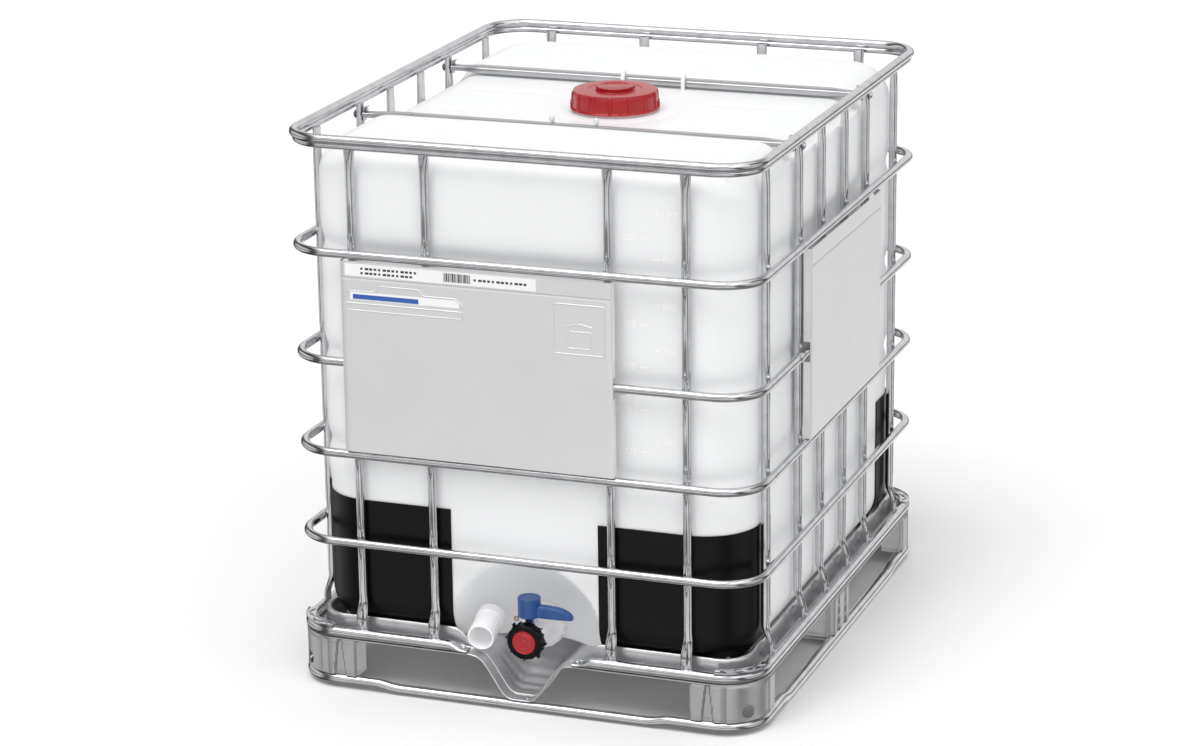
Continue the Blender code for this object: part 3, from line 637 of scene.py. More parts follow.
def hex_head(origin, direction, radius, height):
    """A six-sided bolt head with a chamfer, on a washer."""
    outline = [(0, height), (radius * 0.80, height), (radius, height - 0.0012), (radius, 0), (0, 0)]
    washer = [(0, 0.0010), (radius * 1.35, 0.0010), (radius * 1.40, 0.0005), (radius * 1.40, 0), (0, 0)]
    top = Vector(origin) + Vector(direction) * 0.0010
    return [turned(outline, top, direction, 6), turned(washer, origin, direction, 32)]


def make_bolts():
    """The crossbars' four bolts, each with its nut inside the upright."""
    for side, sign in (("left", -1), ("right", 1)):
        for end in ("front", "back"):
            name = f"crossbar_bolt_{end}_{side}"
            low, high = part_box(name)
            place = (low + high) / 2
            outer = high.x if sign > 0 else low.x
            start = Vector((outer - sign * 0.0045, place.y, place.z))
            shapes = hex_head(start, (sign, 0, 0), 0.0066, 0.0035)
            shapes.append(turned([(0, 0), (0.0038, 0), (0.0038, -0.05), (0, -0.05)], start, (sign, 0, 0), 20))
            build(name, shapes, BOLT)


# ---------------------------------------------------------------- label plates

PLATE_T = 0.0012
PLATE_FACE = 0.0012
CREASE_Z = 0.876
NOTCH_HALF = 0.021


def plate_relief(along, z):
    """Depth of a label plate's surface: its crease and the slight waviness of thin sheet."""
    crease = 0.0011 * exp(-(((z - CREASE_Z) / 0.0022) ** 2))
    wave = 0.00035 * noise.noise(Vector((along * 5, z * 4, 2.0)))
    return crease + wave


def make_plate(name, side):
    """A folded sheet under the upper hoop, in front of the middle one, with cut-outs in its side folds."""
    low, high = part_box(name)
    along = 0 if side == "front" else 1
    left, right = low[along], high[along]
    columns = [(left + 0.0004, 0.0170), (left + 0.0002, 0.0090), (left, 0.0034), (left + 0.0010, 0.0018)]
    columns += [(place, PLATE_FACE) for place in span(left + 0.003, right - 0.003, 60)]
    columns += [(right - 0.0010, 0.0018), (right, 0.0034), (right - 0.0002, 0.0090), (right - 0.0004, 0.0170)]
    ring = RING_Z["ring_middle"]
    heights = {low.z, high.z, ring - NOTCH_HALF, ring + NOTCH_HALF, ring - 0.10, ring + 0.09}
    heights |= {CREASE_Z + i * 0.0011 for i in range(-4, 5)}
    heights |= set(span(low.z, high.z, 36))
    heights = sorted(heights)
    rows = []
    for z in heights:
        row = []
        for place, inset in columns:
            depth = plate_relief(place, z) if inset == PLATE_FACE else 0
            row.append(wall(side, place, inset + depth, z))
        rows.append(row)
    points, faces = grid(rows)
    across = len(columns) - 1
    kept = []
    for index, face in enumerate(faces):
        row, column = divmod(index, across)
        z = (heights[row] + heights[row + 1]) / 2
        in_fold = column < 2 or column >= across - 2
        if not in_fold or abs(z - ring) >= NOTCH_HALF:
            kept.append(face)
    build(name, [(points, kept)], LABEL, thickness=PLATE_T, crease=40)


def plate_point(along, z, proud=0.0):
    """A point on the front label plate's surface, or a little in front of it."""
    return Vector((along, -HALF_Y + PLATE_FACE - PLATE_T / 2 - proud + plate_relief(along, z), z))


def raised_line(corners, width=0.0011, closed=False, bend=0.004):
    """A thin rounded rib along a line on the front label plate."""
    flat = rounded([(x, z) for x, z in corners], bend, 4, closed)
    path = [plate_point(p.x, p.y, 0.0001) for p in flat]
    return swept(path, circle(width, 8), SIDES["front"], cyclic=closed)


def panel(left, low, right, high, proud=0.00025):
    """A flat rectangle stuck on the front label plate."""
    rows = []
    for z in (low, (low + high) / 2, high):
        rows.append([plate_point(along, z, proud) for along in span(left, right, 14)])
    return grid(rows)


def make_plate_details():
    """The sticker strip with plain bars, the document pocket with its card, and a plain pictogram."""
    build("sticker_strip", [panel(-0.352, 0.8815, 0.052, 0.9065)], PAPER)
    bars = []
    for i in range(22):
        width = 0.0008 + 0.0014 * ((i * 7) % 5) / 4
        x = -0.142 + i * 0.0026
        bars.append(panel(x, 0.8855, x + width, 0.9030, 0.0005))
    rows = ((-0.318, 0.8975, 13), (-0.318, 0.8885, 12), (-0.078, 0.8935, 12))
    for start, z, count in rows:
        for i in range(count):
            x = start + i * 0.0095
            bars.append(panel(x, z - 0.0022, x + 0.0045 + 0.0010 * ((i * 3) % 4), z + 0.0022, 0.0005))
    build("sticker_bars", bars, INK)
    pocket = [(-0.350, 0.8335), (-0.350, 0.8500), (-0.288, 0.8520), (-0.278, 0.8640), (-0.196, 0.8640)]
    pocket += [(-0.186, 0.8520), (-0.120, 0.8520), (-0.104, 0.8400), (-0.104, 0.8335)]
    lines = [raised_line(pocket)]
    lines.append(raised_line([(-0.350, 0.8260), (-0.104, 0.8260), (-0.104, 0.8115), (-0.346, 0.8115)]))
    build("pocket_rim", lines, LABEL, crease=60)
    build("pocket_card", [panel(-0.342, 0.8335, -0.110, 0.8495, 0.0004)], PAPER)
    build("pocket_card_band", [panel(-0.336, 0.8350, -0.196, 0.8445, 0.0007)], CARD_BLUE)
    left, low, right, high = 0.088, 0.762, 0.192, 0.862
    lines = [raised_line([(left, low), (right, low), (right, high), (left, high)], 0.0012, True)]
    inner = [(left + 0.028, low + 0.012), (left + 0.028, low + 0.046), (right - 0.028, low + 0.046)]
    inner += [(right - 0.028, low + 0.012)]
    lines.append(raised_line(inner, 0.0010, True))
    roof = [(left + 0.024, low + 0.056), (left + 0.052, low + 0.062), (right - 0.024, low + 0.056)]
    lines.append(raised_line(roof, 0.0010))
    build("plate_pictogram", lines, LABEL, crease=60)


# ---------------------------------------------------------------- pallet

TROUGH_BEAD_INSET = 0.034
TROUGH_PLAIN = 0.16
TROUGH_REACH = 0.156
RIDGE_DIP_X, RIDGE_DIP_RUN = 0.100, 0.056
WRINKLE_PITCH = 0.024
TROUGH_KEYS = ((0.022, 0.0), (0.036, 0.10), (0.074, 0.80), (0.088, 0.95), (0.106, 1.0))


def trough_height(x):
    """Height of the outlet trough's section, smooth between its keys."""
    reach = abs(x)
    if reach <= TROUGH_KEYS[0][0]:
        return TROUGH_Z
    for (x0, s0), (x1, s1) in zip(TROUGH_KEYS, TROUGH_KEYS[1:]):
        if reach <= x1:
            return mix(TROUGH_Z, FLANGE_Z, mix(s0, s1, (reach - x0) / (x1 - x0)))
    return FLANGE_Z


def blended_trough(x):
    """The trough's section with its corners eased."""
    offsets = (-0.006, -0.003, 0.0, 0.003, 0.006)
    return sum(trough_height(x + d) for d in offsets) / len(offsets)


def pan_height(x, y, z):
    """Height of a pan point: lowered into the trough in front, back to its own height behind."""
    if abs(x) > TROUGH_REACH or y > 0:
        return z
    inset = HALF_Y + y
    back = smoothstep((inset - 0.06) / (TROUGH_END - 0.06))
    low = blended_trough(x)
    ripple = inset + 0.010 * (x / 0.06) ** 2
    wrinkle = 0.0016 * sin(ripple * 2 * pi / WRINKLE_PITCH) * smoothstep((FLANGE_Z - low) / 0.05)
    wrinkle *= smoothstep((inset - 0.040) / 0.02) * (1 - back)
    if z > FLANGE_Z:
        return low + (z - FLANGE_Z) * smoothstep((abs(x) - RIDGE_DIP_X) / RIDGE_DIP_RUN)
    return mix(low, FLANGE_Z, back) + wrinkle


def near_upright(x, y):
    """How deep the ridge is notched here: 1 beside a side upright, 0 away from one."""
    if abs(x) < HALF_X - 0.09:
        return 0.0
    side = "right" if x > 0 else "left"
    nearest = min(abs(y - post) for post in POSTS[side])
    return 1 - smoothstep((nearest - 0.011) / 0.010)


def make_pan():
    """The base pan: flange, rolled ridge with notches for the uprights, floor, trough and lip."""
    rows = [(0.0015, FLANGE_Z - 0.0004), (0.020, FLANGE_Z), (0.037, FLANGE_Z + 0.0003)]
    rows += [(0.0400, FLANGE_Z + 0.004), (0.0405, FLANGE_Z + 0.014), (0.0408, RIDGE_Z - 0.008)]
    rows += [(0.0415, RIDGE_Z - 0.003), (0.0435, RIDGE_Z - 0.0006), (0.0462, RIDGE_Z - 0.0004)]
    rows += [(0.0490, RIDGE_Z - 0.0022), (0.0505, RIDGE_Z - 0.006), (0.0515, FLANGE_Z + 0.010)]
    rows += [(0.0530, FLANGE_Z + 0.001)]
    rows += [(0.060 + 0.0065 * i, FLANGE_Z) for i in range(31)]
    loops = []
    for inset, z in rows:
        corner = max(CORNER_R - inset * 0.8, 0.03)
        outline = loop(HALF_X, HALF_Y, CORNER_R, 14, 0.007)
        level = []
        for x, y in outline:
            x, y = inner_point(x, y, inset, corner)
            notch = near_upright(x, y) * smoothstep((z - FLANGE_Z - 0.003) / 0.008)
            sink = notch * 0.0045 if inset < 0.044 else 0
            x -= sink * sign(x)
            level.append((x, y, pan_height(x, y, z)))
        loops.append(level)
    shape = grid(loops, around=True, cap_last=True)
    build("base_pan", [shape], SHEET, thickness=0.0013, crease=45)
    lip = [(x, -HALF_Y + 0.0022, blended_trough(x) + 0.0002) for x in span(-0.112, 0.112, 60)]
    bead_y = -HALF_Y + TROUGH_BEAD_INSET
    bead = [(x, bead_y, pan_height(x, bead_y, FLANGE_Z) + 0.0006) for x in span(-0.104, 0.104, 60)]
    shapes = [swept(lip, circle(0.0020, 10)), swept(bead, circle(0.0024, 12))]
    build("trough_lip", shapes, SHEET, crease=60)
    screw = hex_head((0.010, -HALF_Y + 0.020, TROUGH_Z + 0.0004), UP, 0.0042, 0.0022)
    build("trough_screw", screw, BOLT)


def inner_point(x, y, inset, corner):
    """A point of the outer outline carried inwards to the outline at an inset."""
    half_x, half_y = HALF_X - inset, HALF_Y - inset
    cx, cy = HALF_X - CORNER_R, HALF_Y - CORNER_R
    if abs(x) > cx and abs(y) > cy:
        away = Vector((abs(x) - cx, abs(y) - cy)).normalized()
        px = half_x - corner + away.x * corner
        py = half_y - corner + away.y * corner
        return px * sign(x), py * sign(y)
    if abs(x) > cx:
        return half_x * sign(x), y * (half_y - corner) / cy
    if abs(x) > TROUGH_PLAIN:
        x = x * (half_x - corner) / cx
    return x, half_y * sign(y)


FRAME_END_XS = (0.113, 0.122, 0.130, 0.140, 0.152, 0.170)
CLAMP_ARC = (10, 20, 40, 50, 70, 80)


def frame_flat(x):
    """How far the pallet's top tube is flattened: 1 at its bolted ends, 0 past them."""
    return 1 - smoothstep((abs(x) - 0.124) / 0.030)


def make_pallet_frame():
    """The pallet's top tube, flattened and bolted at its two front ends, with clamps over the corners."""
    outline = loop(HALF_X - FRAME_R, HALF_Y - FRAME_R, CORNER_R - FRAME_R, 16)
    ends = [(x, -HALF_Y + FRAME_R) for x in FRAME_END_XS]
    plan = ends + outline + [(-x, y) for x, y in ends[::-1]]
    path = [(x, y, FRAME_Z - 0.0062 * frame_flat(x)) for x, y in plan]

    def section(i):
        flat = frame_flat(path[i][0])
        return [(a * (1 + 0.12 * flat), b * (1 - 0.62 * flat)) for a, b in circle(FRAME_R, 24)]

    build("pallet_frame", [swept(path, section)], TUBE, crease=50)
    heads = []
    for x in (-0.1225, 0.1225):
        heads += hex_head((x, -HALF_Y + FRAME_R, FRAME_Z - 0.0026), UP, 0.0050, 0.0026)
    build("frame_end_bolts", heads, BOLT)
    make_corner_clamps()


def make_corner_clamps():
    """Stamped straps over the frame's four corners, each with a folded edge, a zigzag rib and two screws."""
    shapes, screws = [], []
    radius = CORNER_R - FRAME_R
    cx, cy = HALF_X - FRAME_R - radius, HALF_Y - FRAME_R - radius
    top = FRAME_Z + FRAME_R + 0.0008
    for turn, (sx, sy) in enumerate(CORNERS):
        start = turn * 90 - 90
        bend = arc(sx * cx, sy * cy, radius, start + 2, start + 88, 20)
        shapes.append(swept([(x, y, top) for x, y in bend], oval(0.0105, 0.0014, 5, 20)))
        for aside in (-0.0098, 0.0098):
            rim = arc(sx * cx, sy * cy, radius + aside, start + 4, start + 86, 20)
            shapes.append(swept([(x, y, top + 0.0016) for x, y in rim], oval(0.0011, 0.0022, 3, 12)))
        zigzag = []
        for i, angle in enumerate(CLAMP_ARC):
            a = radians(start + angle)
            away = radius + (0.0050 if i % 2 else -0.0050)
            zigzag.append((sx * cx + away * cos(a), sy * cy + away * sin(a), top + 0.0016))
        shapes.append(swept(rounded(zigzag, 0.004, 4, closed=False), oval(0.0016, 0.0014, 3, 12)))
        for angle in (30, 60):
            a = radians(start + angle)
            place = Vector((sx * cx + radius * cos(a), sy * cy + radius * sin(a), top + 0.0008))
            screws += hex_head(place, UP, 0.0034, 0.0022)
    build("corner_clamps", shapes, TUBE, crease=40)
    build("corner_clamp_screws", screws, BOLT)


RUNNER_R, RUNNER_LOW, RUNNER_RAISED = 0.011, 0.011, 0.018


def make_runners():
    """The base runner, stepped up at the corners, and the flat cross runner between the side feet."""
    inset = RUNNER_R
    corner = CORNER_R - RUNNER_R
    cx, cy = HALF_X - inset, HALF_Y - inset
    path = []
    for turn, (sx, sy) in enumerate(CORNERS):
        bend = arc(sx * (cx - corner), sy * (cy - corner), corner, turn * 90 - 90, turn * 90, 14)
        path += [(x, y, RUNNER_RAISED) for x, y in bend]
        raised, low = (0.410, 0.375) if turn in (0, 2) else (0.310, 0.275)
        run = [(-raised, RUNNER_RAISED), (-low, RUNNER_LOW), (low, RUNNER_LOW), (raised, RUNNER_RAISED)]
        ahead = (Vector((0, 1)), Vector((-1, 0)), Vector((0, -1)), Vector((1, 0)))[turn]
        side = (Vector((cx, 0)), Vector((0, cy)), Vector((-cx, 0)), Vector((0, -cy)))[turn]
        spots = [(*(side + ahead * s), z) for s, z in run]
        path += [tuple(p) for p in rounded(spots_with_ends(spots, ahead), 0.014, 4, closed=False)[1:-1]]
    build("base_runner", [swept(path, circle(RUNNER_R, 24), cyclic=True)], TUBE, crease=60)
    low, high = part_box("cross_runner")
    half = [(0.021, 0.018), (0.030, 0.0016), (0.030, 0.0)]
    section = [(-y, z) for y, z in half[::-1]] + half
    rows = []
    for x in (low.x, high.x):
        rows.append([(x, p.x, p.y) for p in rounded(section, 0.003)])
    shape = solid(rows)
    build("cross_runner", [shape], SHEET)


def spots_with_ends(spots, ahead):
    """A run of points with one more at each end, so that every given one can be rounded."""
    first, last = Vector(spots[0]), Vector(spots[-1])
    step = Vector((*ahead, 0)) * 0.01
    return [tuple(first - step)] + spots + [tuple(last + step)]


FOOT_FACE = 0.0024
HOLE_ANGLE, HOLE_Z = radians(-43), 0.050
HOLE_PROFILE = ((0, 0.05), (0.014, 0.05), (0.014, 0), (0, 0))


def foot_relief(run, z, low, high, ribs):
    """How far a foot's wall is pressed inwards at a place along it: vee ribs and upright grooves."""
    share = (z - low) / (high - low)
    depth = 0.0
    for place, kind in ribs:
        if kind == "vee":
            half = mix(0.0125, 0.0040, share)
            edge = smoothstep((half - abs(run - place)) / 0.0032 + 0.5)
            depth = max(depth, 0.0060 * edge)
        else:
            depth = max(depth, 0.0030 * exp(-(((run - place) / 0.0018) ** 2)))
    rim = 1 - smoothstep((share - 0.04) / 0.05)
    shoulder = 0.0030 * exp(-(((1 - share) / 0.05) ** 2))
    return depth * smoothstep((1 - share) / 0.06) + shoulder - 0.0009 * rim


def foot_path(plan, spacing=0.0022):
    """Points spaced evenly along a plan line, each with its distance from the start and its inward side."""
    plan = [Vector(p) for p in plan]
    out, run = [], 0.0
    for start, end in zip(plan, plan[1:]):
        length = (end - start).length
        pieces = max(int(length / spacing), 1)
        ahead = (end - start).normalized()
        for i in range(pieces):
            out.append((mix(start, end, i / pieces), run + length * i / pieces, Vector((-ahead.y, ahead.x))))
        run += length
    out.append((plan[-1], run, out[-1][2]))
    return out


def foot_shape(plan, low, high, ribs, flip=(1, 1)):
    """A pressed foot's wall and its top plate."""
    path = foot_path(plan)
    rows = []
    for z in span(low, high, 26):
        row = []
        for place, run, inwards in path:
            spot = place + inwards * foot_relief(run, z, low, high, ribs)
            row.append((spot.x * flip[0], spot.y * flip[1], z))
        rows.append(row)
    points, faces = grid(rows)
    count = len(path)
    faces.append(tuple(range(len(points) - count, len(points))))
    return points, faces


def make_feet():
    """Four corner feet with a round hole, and three feet between them."""
    inset = FOOT_FACE + 0.001
    corner = CORNER_R - inset
    near_x, near_y, reach = 0.357, 0.462, 0.048
    cx, cy = HALF_X - inset - corner, HALF_Y - inset - corner
    plan = [(near_x, -HALF_Y + reach), (near_x + 0.002, -HALF_Y + inset + 0.004)]
    plan += [(near_x + 0.006, -HALF_Y + inset)]
    plan += arc(cx, -cy, corner, -90, 0, 24)
    plan += [(HALF_X - inset, -near_y - 0.016), (HALF_X - inset - 0.006, -near_y - 0.013)]
    plan += [(HALF_X - inset - 0.006, -near_y), (HALF_X - reach, -near_y)]
    first = reach - inset
    ribs = [(first + 0.034, "vee"), (first + 0.0635, "groove"), (first + 0.0700, "groove")]
    turn_length = corner * pi / 2
    ribs += [(first + (cx - near_x) + turn_length - 0.012, "groove")]
    low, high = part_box("corner_foot_front_right")
    for front, sy in (("front", 1), ("back", -1)):
        for side, sx in (("left", -1), ("right", 1)):
            name = f"corner_foot_{front}_{side}"
            out = Vector((sx * cos(HOLE_ANGLE), sy * sin(HOLE_ANGLE), 0))
            centre = Vector((sx * cx, -sy * cy, HOLE_Z)) + out * (corner - 0.02)
            bore = cutter("foot_bore", turned(HOLE_PROFILE, centre, out, 40))
            shape = foot_shape(plan, low.z + 0.0006, high.z - 0.0011, ribs, (sx, sy))
            build(name, [shape], FOOT_SHEET_PAINTED_SHADE, thickness=0.0020, cutters=[bore])
            bpy.data.objects.remove(bore)
    make_middle_feet()


def make_middle_feet():
    """The pressed feet half way along the sides and the back."""
    for side in ("left", "right", "back"):
        name = f"middle_foot_{side}"
        low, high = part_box(name)
        plan = [(-0.067, -0.079), (-0.067, -0.022), (-0.062, -0.016), (-0.055, -0.016), (-0.050, -0.0045)]
        plan += [(0.050, -0.0045), (0.055, -0.016), (0.062, -0.016), (0.067, -0.022), (0.067, -0.079)]
        out = SIDES[side]
        across = UP.cross(out)
        flat = []
        for along, depth in rounded(plan, 0.003, 3, closed=False):
            spot = out * ((HALF_X if out.x else HALF_Y) + depth) + across * along
            flat.append((spot.x, spot.y))
        run = sum((Vector(b) - Vector(a)).length for a, b in zip(flat, flat[1:])) / 2
        ribs = [(run - 0.024, "vee"), (run + 0.024, "vee")]
        shape = foot_shape(flat, low.z + 0.0006, high.z - 0.0011, ribs)
        build(name, [shape], FOOT_SHEET_PAINTED_SHADE, thickness=0.0020)


# ---------------------------------------------------------------- bottle


EDGE_STEPS = 10
BOTTLE_SPACING = 0.0085


def edge_run(edge, step):
    """How far along a square edge a ray meets it, after that many of the steps through 45 degrees."""
    angle = radians(45 * step / EDGE_STEPS)
    return edge * sin(angle) / cos(angle)


def edge_places(start, edge):
    """The places where the rays meet an edge, after its start."""
    return [start + edge_run(edge, step) for step in range(1, EDGE_STEPS + 1)]


def spread(half, edge, spacing):
    """Grid lines from -half to half, even in the flat part and turned evenly round both edges."""
    flat = half - edge
    bend = edge_places(flat, edge)
    return [-x for x in bend[::-1]] + span(-flat, flat, round(2 * flat / spacing)) + bend


def pull(x, y, z, rim_z, edge):
    """Moves a point of a box onto the rounded body that fills it, at the edge below or above rim_z."""
    over = max(abs(x) - (BOTTLE_X - edge), abs(y) - (BOTTLE_Y - edge))
    beyond = abs(z - rim_z)
    reach = max(over, beyond)
    if over > 0 and beyond > 0:
        size = hypot(over, beyond)
        new_over = reach * over / size
        new_beyond = reach * beyond / size
    else:
        new_over, new_beyond = over, beyond
    change = new_over - over
    half_x, half_y = BOTTLE_X - edge + new_over, BOTTLE_Y - edge + new_over
    if abs(x) - (BOTTLE_X - edge) > over - 1e-9:
        x = (abs(x) + change) * sign(x)
    if abs(y) - (BOTTLE_Y - edge) > over - 1e-9:
        y = (abs(y) + change) * sign(y)
    corner = max(BOTTLE_CORNER_R - edge + new_over, 0.0)
    qx = min(max(x, corner - half_x), half_x - corner)
    qy = min(max(y, corner - half_y), half_y - corner)
    away = Vector((x - qx, y - qy))
    if away.length > 1e-9:
        longest = max(abs(away.x), abs(away.y))
        away = away.normalized() * longest
    return Vector((qx + away.x, qy + away.y, rim_z + sign(z - rim_z) * new_beyond))


def body_point(x, y, z):
    """The plain rounded body's point for a point of its box."""
    if z < LOW_RIM:
        return pull(x, y, z, LOW_RIM, BOTTLE_BOTTOM_R)
    if z > HIGH_RIM:
        return pull(x, y, z, HIGH_RIM, BOTTLE_TOP_R)
    return wall_only(x, y, z)


def wall_only(x, y, z):
    """The body's point on its upright wall."""
    inner_x, inner_y = wall_anchor(x, y)
    away = Vector((x - inner_x, y - inner_y))
    if away.length > 1e-9:
        away = away.normalized() * max(abs(away.x), abs(away.y))
    return Vector((inner_x + away.x, inner_y + away.y, z))


def wall_anchor(x, y):
    """The place inside the body's plan that a wall point faces away from."""
    inner_x, inner_y = BOTTLE_X - BOTTLE_CORNER_R, BOTTLE_Y - BOTTLE_CORNER_R
    return min(max(x, -inner_x), inner_x), min(max(y, -inner_y), inner_y)


def outwards(point):
    """The direction in which a point of the wall faces."""
    return (point - Vector((*wall_anchor(point.x, point.y), point.z))).normalized()


PILLOW_OUT, HOOP_IN, POST_IN = 0.0040, 0.0075, 0.0030


def pillow(x, y, z):
    """How far the wall swells outwards between the hoops and uprights, or draws in beside them."""
    above = smoothstep((z - 0.41) / 0.05) * smoothstep((BOTTLE_HIGH - z - 0.02) / 0.06)
    hoop = max(exp(-(((z - ring) / 0.020) ** 2)) for ring in RING_Z.values())
    if abs(x) > BOTTLE_X - 0.02:
        side, along = ("right" if x > 0 else "left"), y
    else:
        side, along = ("back" if y > 0 else "front"), x
    post = max(exp(-(((along - p) / 0.022) ** 2)) for p in POSTS[side])
    return above * (PILLOW_OUT - HOOP_IN * hoop - POST_IN * post * (1 - hoop))


def top_shape(x, y, z):
    """Height of the top: two lobes, the lower band between them, and the cap's shallow surround."""
    step = 1 - smoothstep((abs(y) - BAND_Y + 0.014) / 0.030)
    z -= (BOTTLE_HIGH - BAND_Z) * step
    dome = 0.0030 * (1 - (x / BOTTLE_X) ** 2) * (1 - step)
    ring = 0.0030 * exp(-(((hypot(x, y) - 0.125) / 0.010) ** 2))
    rib_length = smoothstep((abs(x) - 0.17) / 0.02) * smoothstep((0.375 - abs(x)) / 0.02)
    rib = 0.0
    for rib_y in (0.10, -0.10):
        rib += 0.0040 * exp(-(((y - rib_y) / 0.0060) ** 2)) * rib_length
    return z + dome - ring * step - rib * step


def in_recess(point):
    """A point of the front wall carried into the dished recess round the outlet."""
    across, up = point.x / RECESS_WIDE, (point.z - VALVE_Z) / RECESS_WIDE
    left = 1 - across**2 - up**2
    if left <= 0 or point.y > -0.30:
        return point
    y = RECESS_Y + RECESS_DEEP * sqrt(left)
    gap = y - point.y
    blend = gap * smoothstep(gap / RECESS_EASE + 0.15) if gap < RECESS_EASE else gap
    return Vector((point.x, point.y + max(blend, 0), point.z))


def bottle_point(x, y, z, swollen):
    """A point of the bottle's skin for a point of its box. The wall is swollen, the two ends aren't."""
    point = body_point(x, y, z)
    if swollen:
        point += outwards(point) * pillow(x, y, z)
    if z > BOTTLE_MIDDLE:
        share = smoothstep((point.z - 1.08) / 0.03)
        point.z = mix(point.z, top_shape(point.x, point.y, point.z), share)
    return in_recess(point)


def make_bottle():
    """The bottle: a rounded body with swollen panels, two top lobes, a neck and the outlet recess."""
    xs = spread(BOTTLE_X, BOTTLE_CORNER_R, BOTTLE_SPACING)
    ys = spread(BOTTLE_Y, BOTTLE_CORNER_R, BOTTLE_SPACING)
    zs = [BOTTLE_LOW + BOTTLE_BOTTOM_R * (1 - edge_run(1, step)) for step in range(EDGE_STEPS, 0, -1)]
    zs += span(LOW_RIM, HIGH_RIM, round((HIGH_RIM - LOW_RIM) / 0.0080))
    zs += edge_places(HIGH_RIM, BOTTLE_TOP_R)
    around = [(x, ys[0]) for x in xs[:-1]] + [(xs[-1], y) for y in ys[:-1]]
    around += [(x, ys[-1]) for x in xs[:0:-1]] + [(xs[0], y) for y in ys[:0:-1]]
    rows = [[bottle_point(x, y, z, True) for x, y in around] for z in zs]
    shapes = [grid(rows, around=True)]
    for z in (zs[0], zs[-1]):
        shapes.append(grid([[bottle_point(x, y, z, False) for x in xs] for y in ys]))
    build("inner_bottle", shapes, HDPE, crease=70)
    make_bottle_details()


FRONT_WALL = -BOTTLE_Y - PILLOW_OUT
LITRE_Z0, LITRE_STEP = 0.1335, 0.0911
GALLON_STEP = 0.0862


def wall_text(words, x, z, size):
    """Raised characters on the bottle's front wall."""
    curve = bpy.data.curves.new("characters", "FONT")
    curve.body = words
    curve.size = size
    curve.extrude = 0.0005
    curve.offset = 0.0004
    obj = bpy.data.objects.new("characters", curve)
    bpy.context.scene.collection.objects.link(obj)
    bpy.context.view_layer.update()
    mesh = bpy.data.meshes.new_from_object(obj.evaluated_get(bpy.context.evaluated_depsgraph_get()))
    turn = Matrix.Translation((x, FRONT_WALL - 0.0002, z)) @ Matrix.Rotation(pi / 2, 4, "X")
    points = [tuple(turn @ v.co) for v in mesh.vertices]
    points = [(px, py - pillow_drop(px, pz), pz) for px, py, pz in points]
    faces = [tuple(p.vertices) for p in mesh.polygons]
    bpy.data.objects.remove(obj)
    return points, faces


def pillow_drop(x, z):
    """How far the front wall stands out here, less its fullest swelling."""
    return pillow(x, -BOTTLE_Y, z) - PILLOW_OUT


def scale_arrow(x, z, length):
    """A short raised line of the filling scale, ending in an arrowhead. A negative length points to -X."""
    y = FRONT_WALL + 0.0006 - pillow_drop(x, z)
    left, right = min(x, x + length), max(x, x + length)
    shaft = block((left, y - 0.0012, z - 0.0013), (right, y + 0.0010, z + 0.0013), 0.0005)
    tip = x + length
    back = tip - (0.0055 if length > 0 else -0.0055)
    outline = [(tip, z), (back, z + 0.0036), (back, z - 0.0036)]
    rows = [[(px, y + depth, pz) for px, pz in outline] for depth in (0.0010, -0.0013)]
    return [shaft, solid(rows)]


def make_bottle_details():
    """The moulded filling scale in two columns, the filler neck and the outlet neck."""
    shapes = []
    for hundreds in range(4, 11):
        z = LITRE_Z0 + LITRE_STEP * hundreds
        shapes += scale_arrow(0.2740, z, 0.018)
        shapes.append(wall_text(str(hundreds * 100), 0.2960, z - 0.0060, 0.0185))
    for step in range(5, 11):
        z = 0.1322 + GALLON_STEP * step
        shapes.append(wall_text(str(step * 25), 0.2140, z - 0.0060, 0.0185))
        shapes += scale_arrow(0.2660, z, -0.016)
    build("filling_scale", shapes, MARK)
    tag = block((0.2030, FRONT_WALL + 0.0010, 0.6585), (0.2210, FRONT_WALL + 0.0024, 0.6765), 0.0010)
    build("scale_tag", [tag], MARK)
    low = BAND_Z - 0.006
    neck = [(0.0725, 1.1400), (0.0810, 1.1400), (0.0810, 1.1180), (0.0850, BAND_Z + 0.001)]
    neck += [(0.0890, low), (0.0725, low)]
    build("bottle_neck", [turned(rounded(neck, 0.001, 2), (0, 0, 0), UP, 72)], HDPE)
    outlet = [(0.027, 0.425), (0.036, 0.425), (0.036, 0.4620), (0.027, 0.4620)]
    build("bottle_outlet", [turned(outlet, (0, 0, VALVE_Z), SIDES["front"], 48)], HDPE)
    make_bar_hooks()


HOOK_PLACES = ((-0.055, -1), (0.040, -1), (0.075, 1), (-0.060, 1))


def make_bar_hooks():
    """Small moulded hooks on the bottle that reach over the crossbars."""
    shapes = []
    for x, end in HOOK_PLACES:
        bar_y = end * BAR_Y
        inner = bar_y - end * (BAR_WIDE + 0.005)
        path = [(x, inner, BAND_Z - 0.002), (x, inner, 1.1300), (x, inner + end * 0.006, 1.1365)]
        path += [(x, inner + end * 0.016, 1.1350)]
        bent = rounded(path, 0.006, 5, closed=False)
        shapes.append(swept(bent, oval(0.0052, 0.0040, 2.5, 16), Vector((1, 0, 0))))
    build("bar_hooks", shapes, WHITE, crease=50)


PROTECTOR_END_Y = 0.385
SHELL_GAP = 0.0020


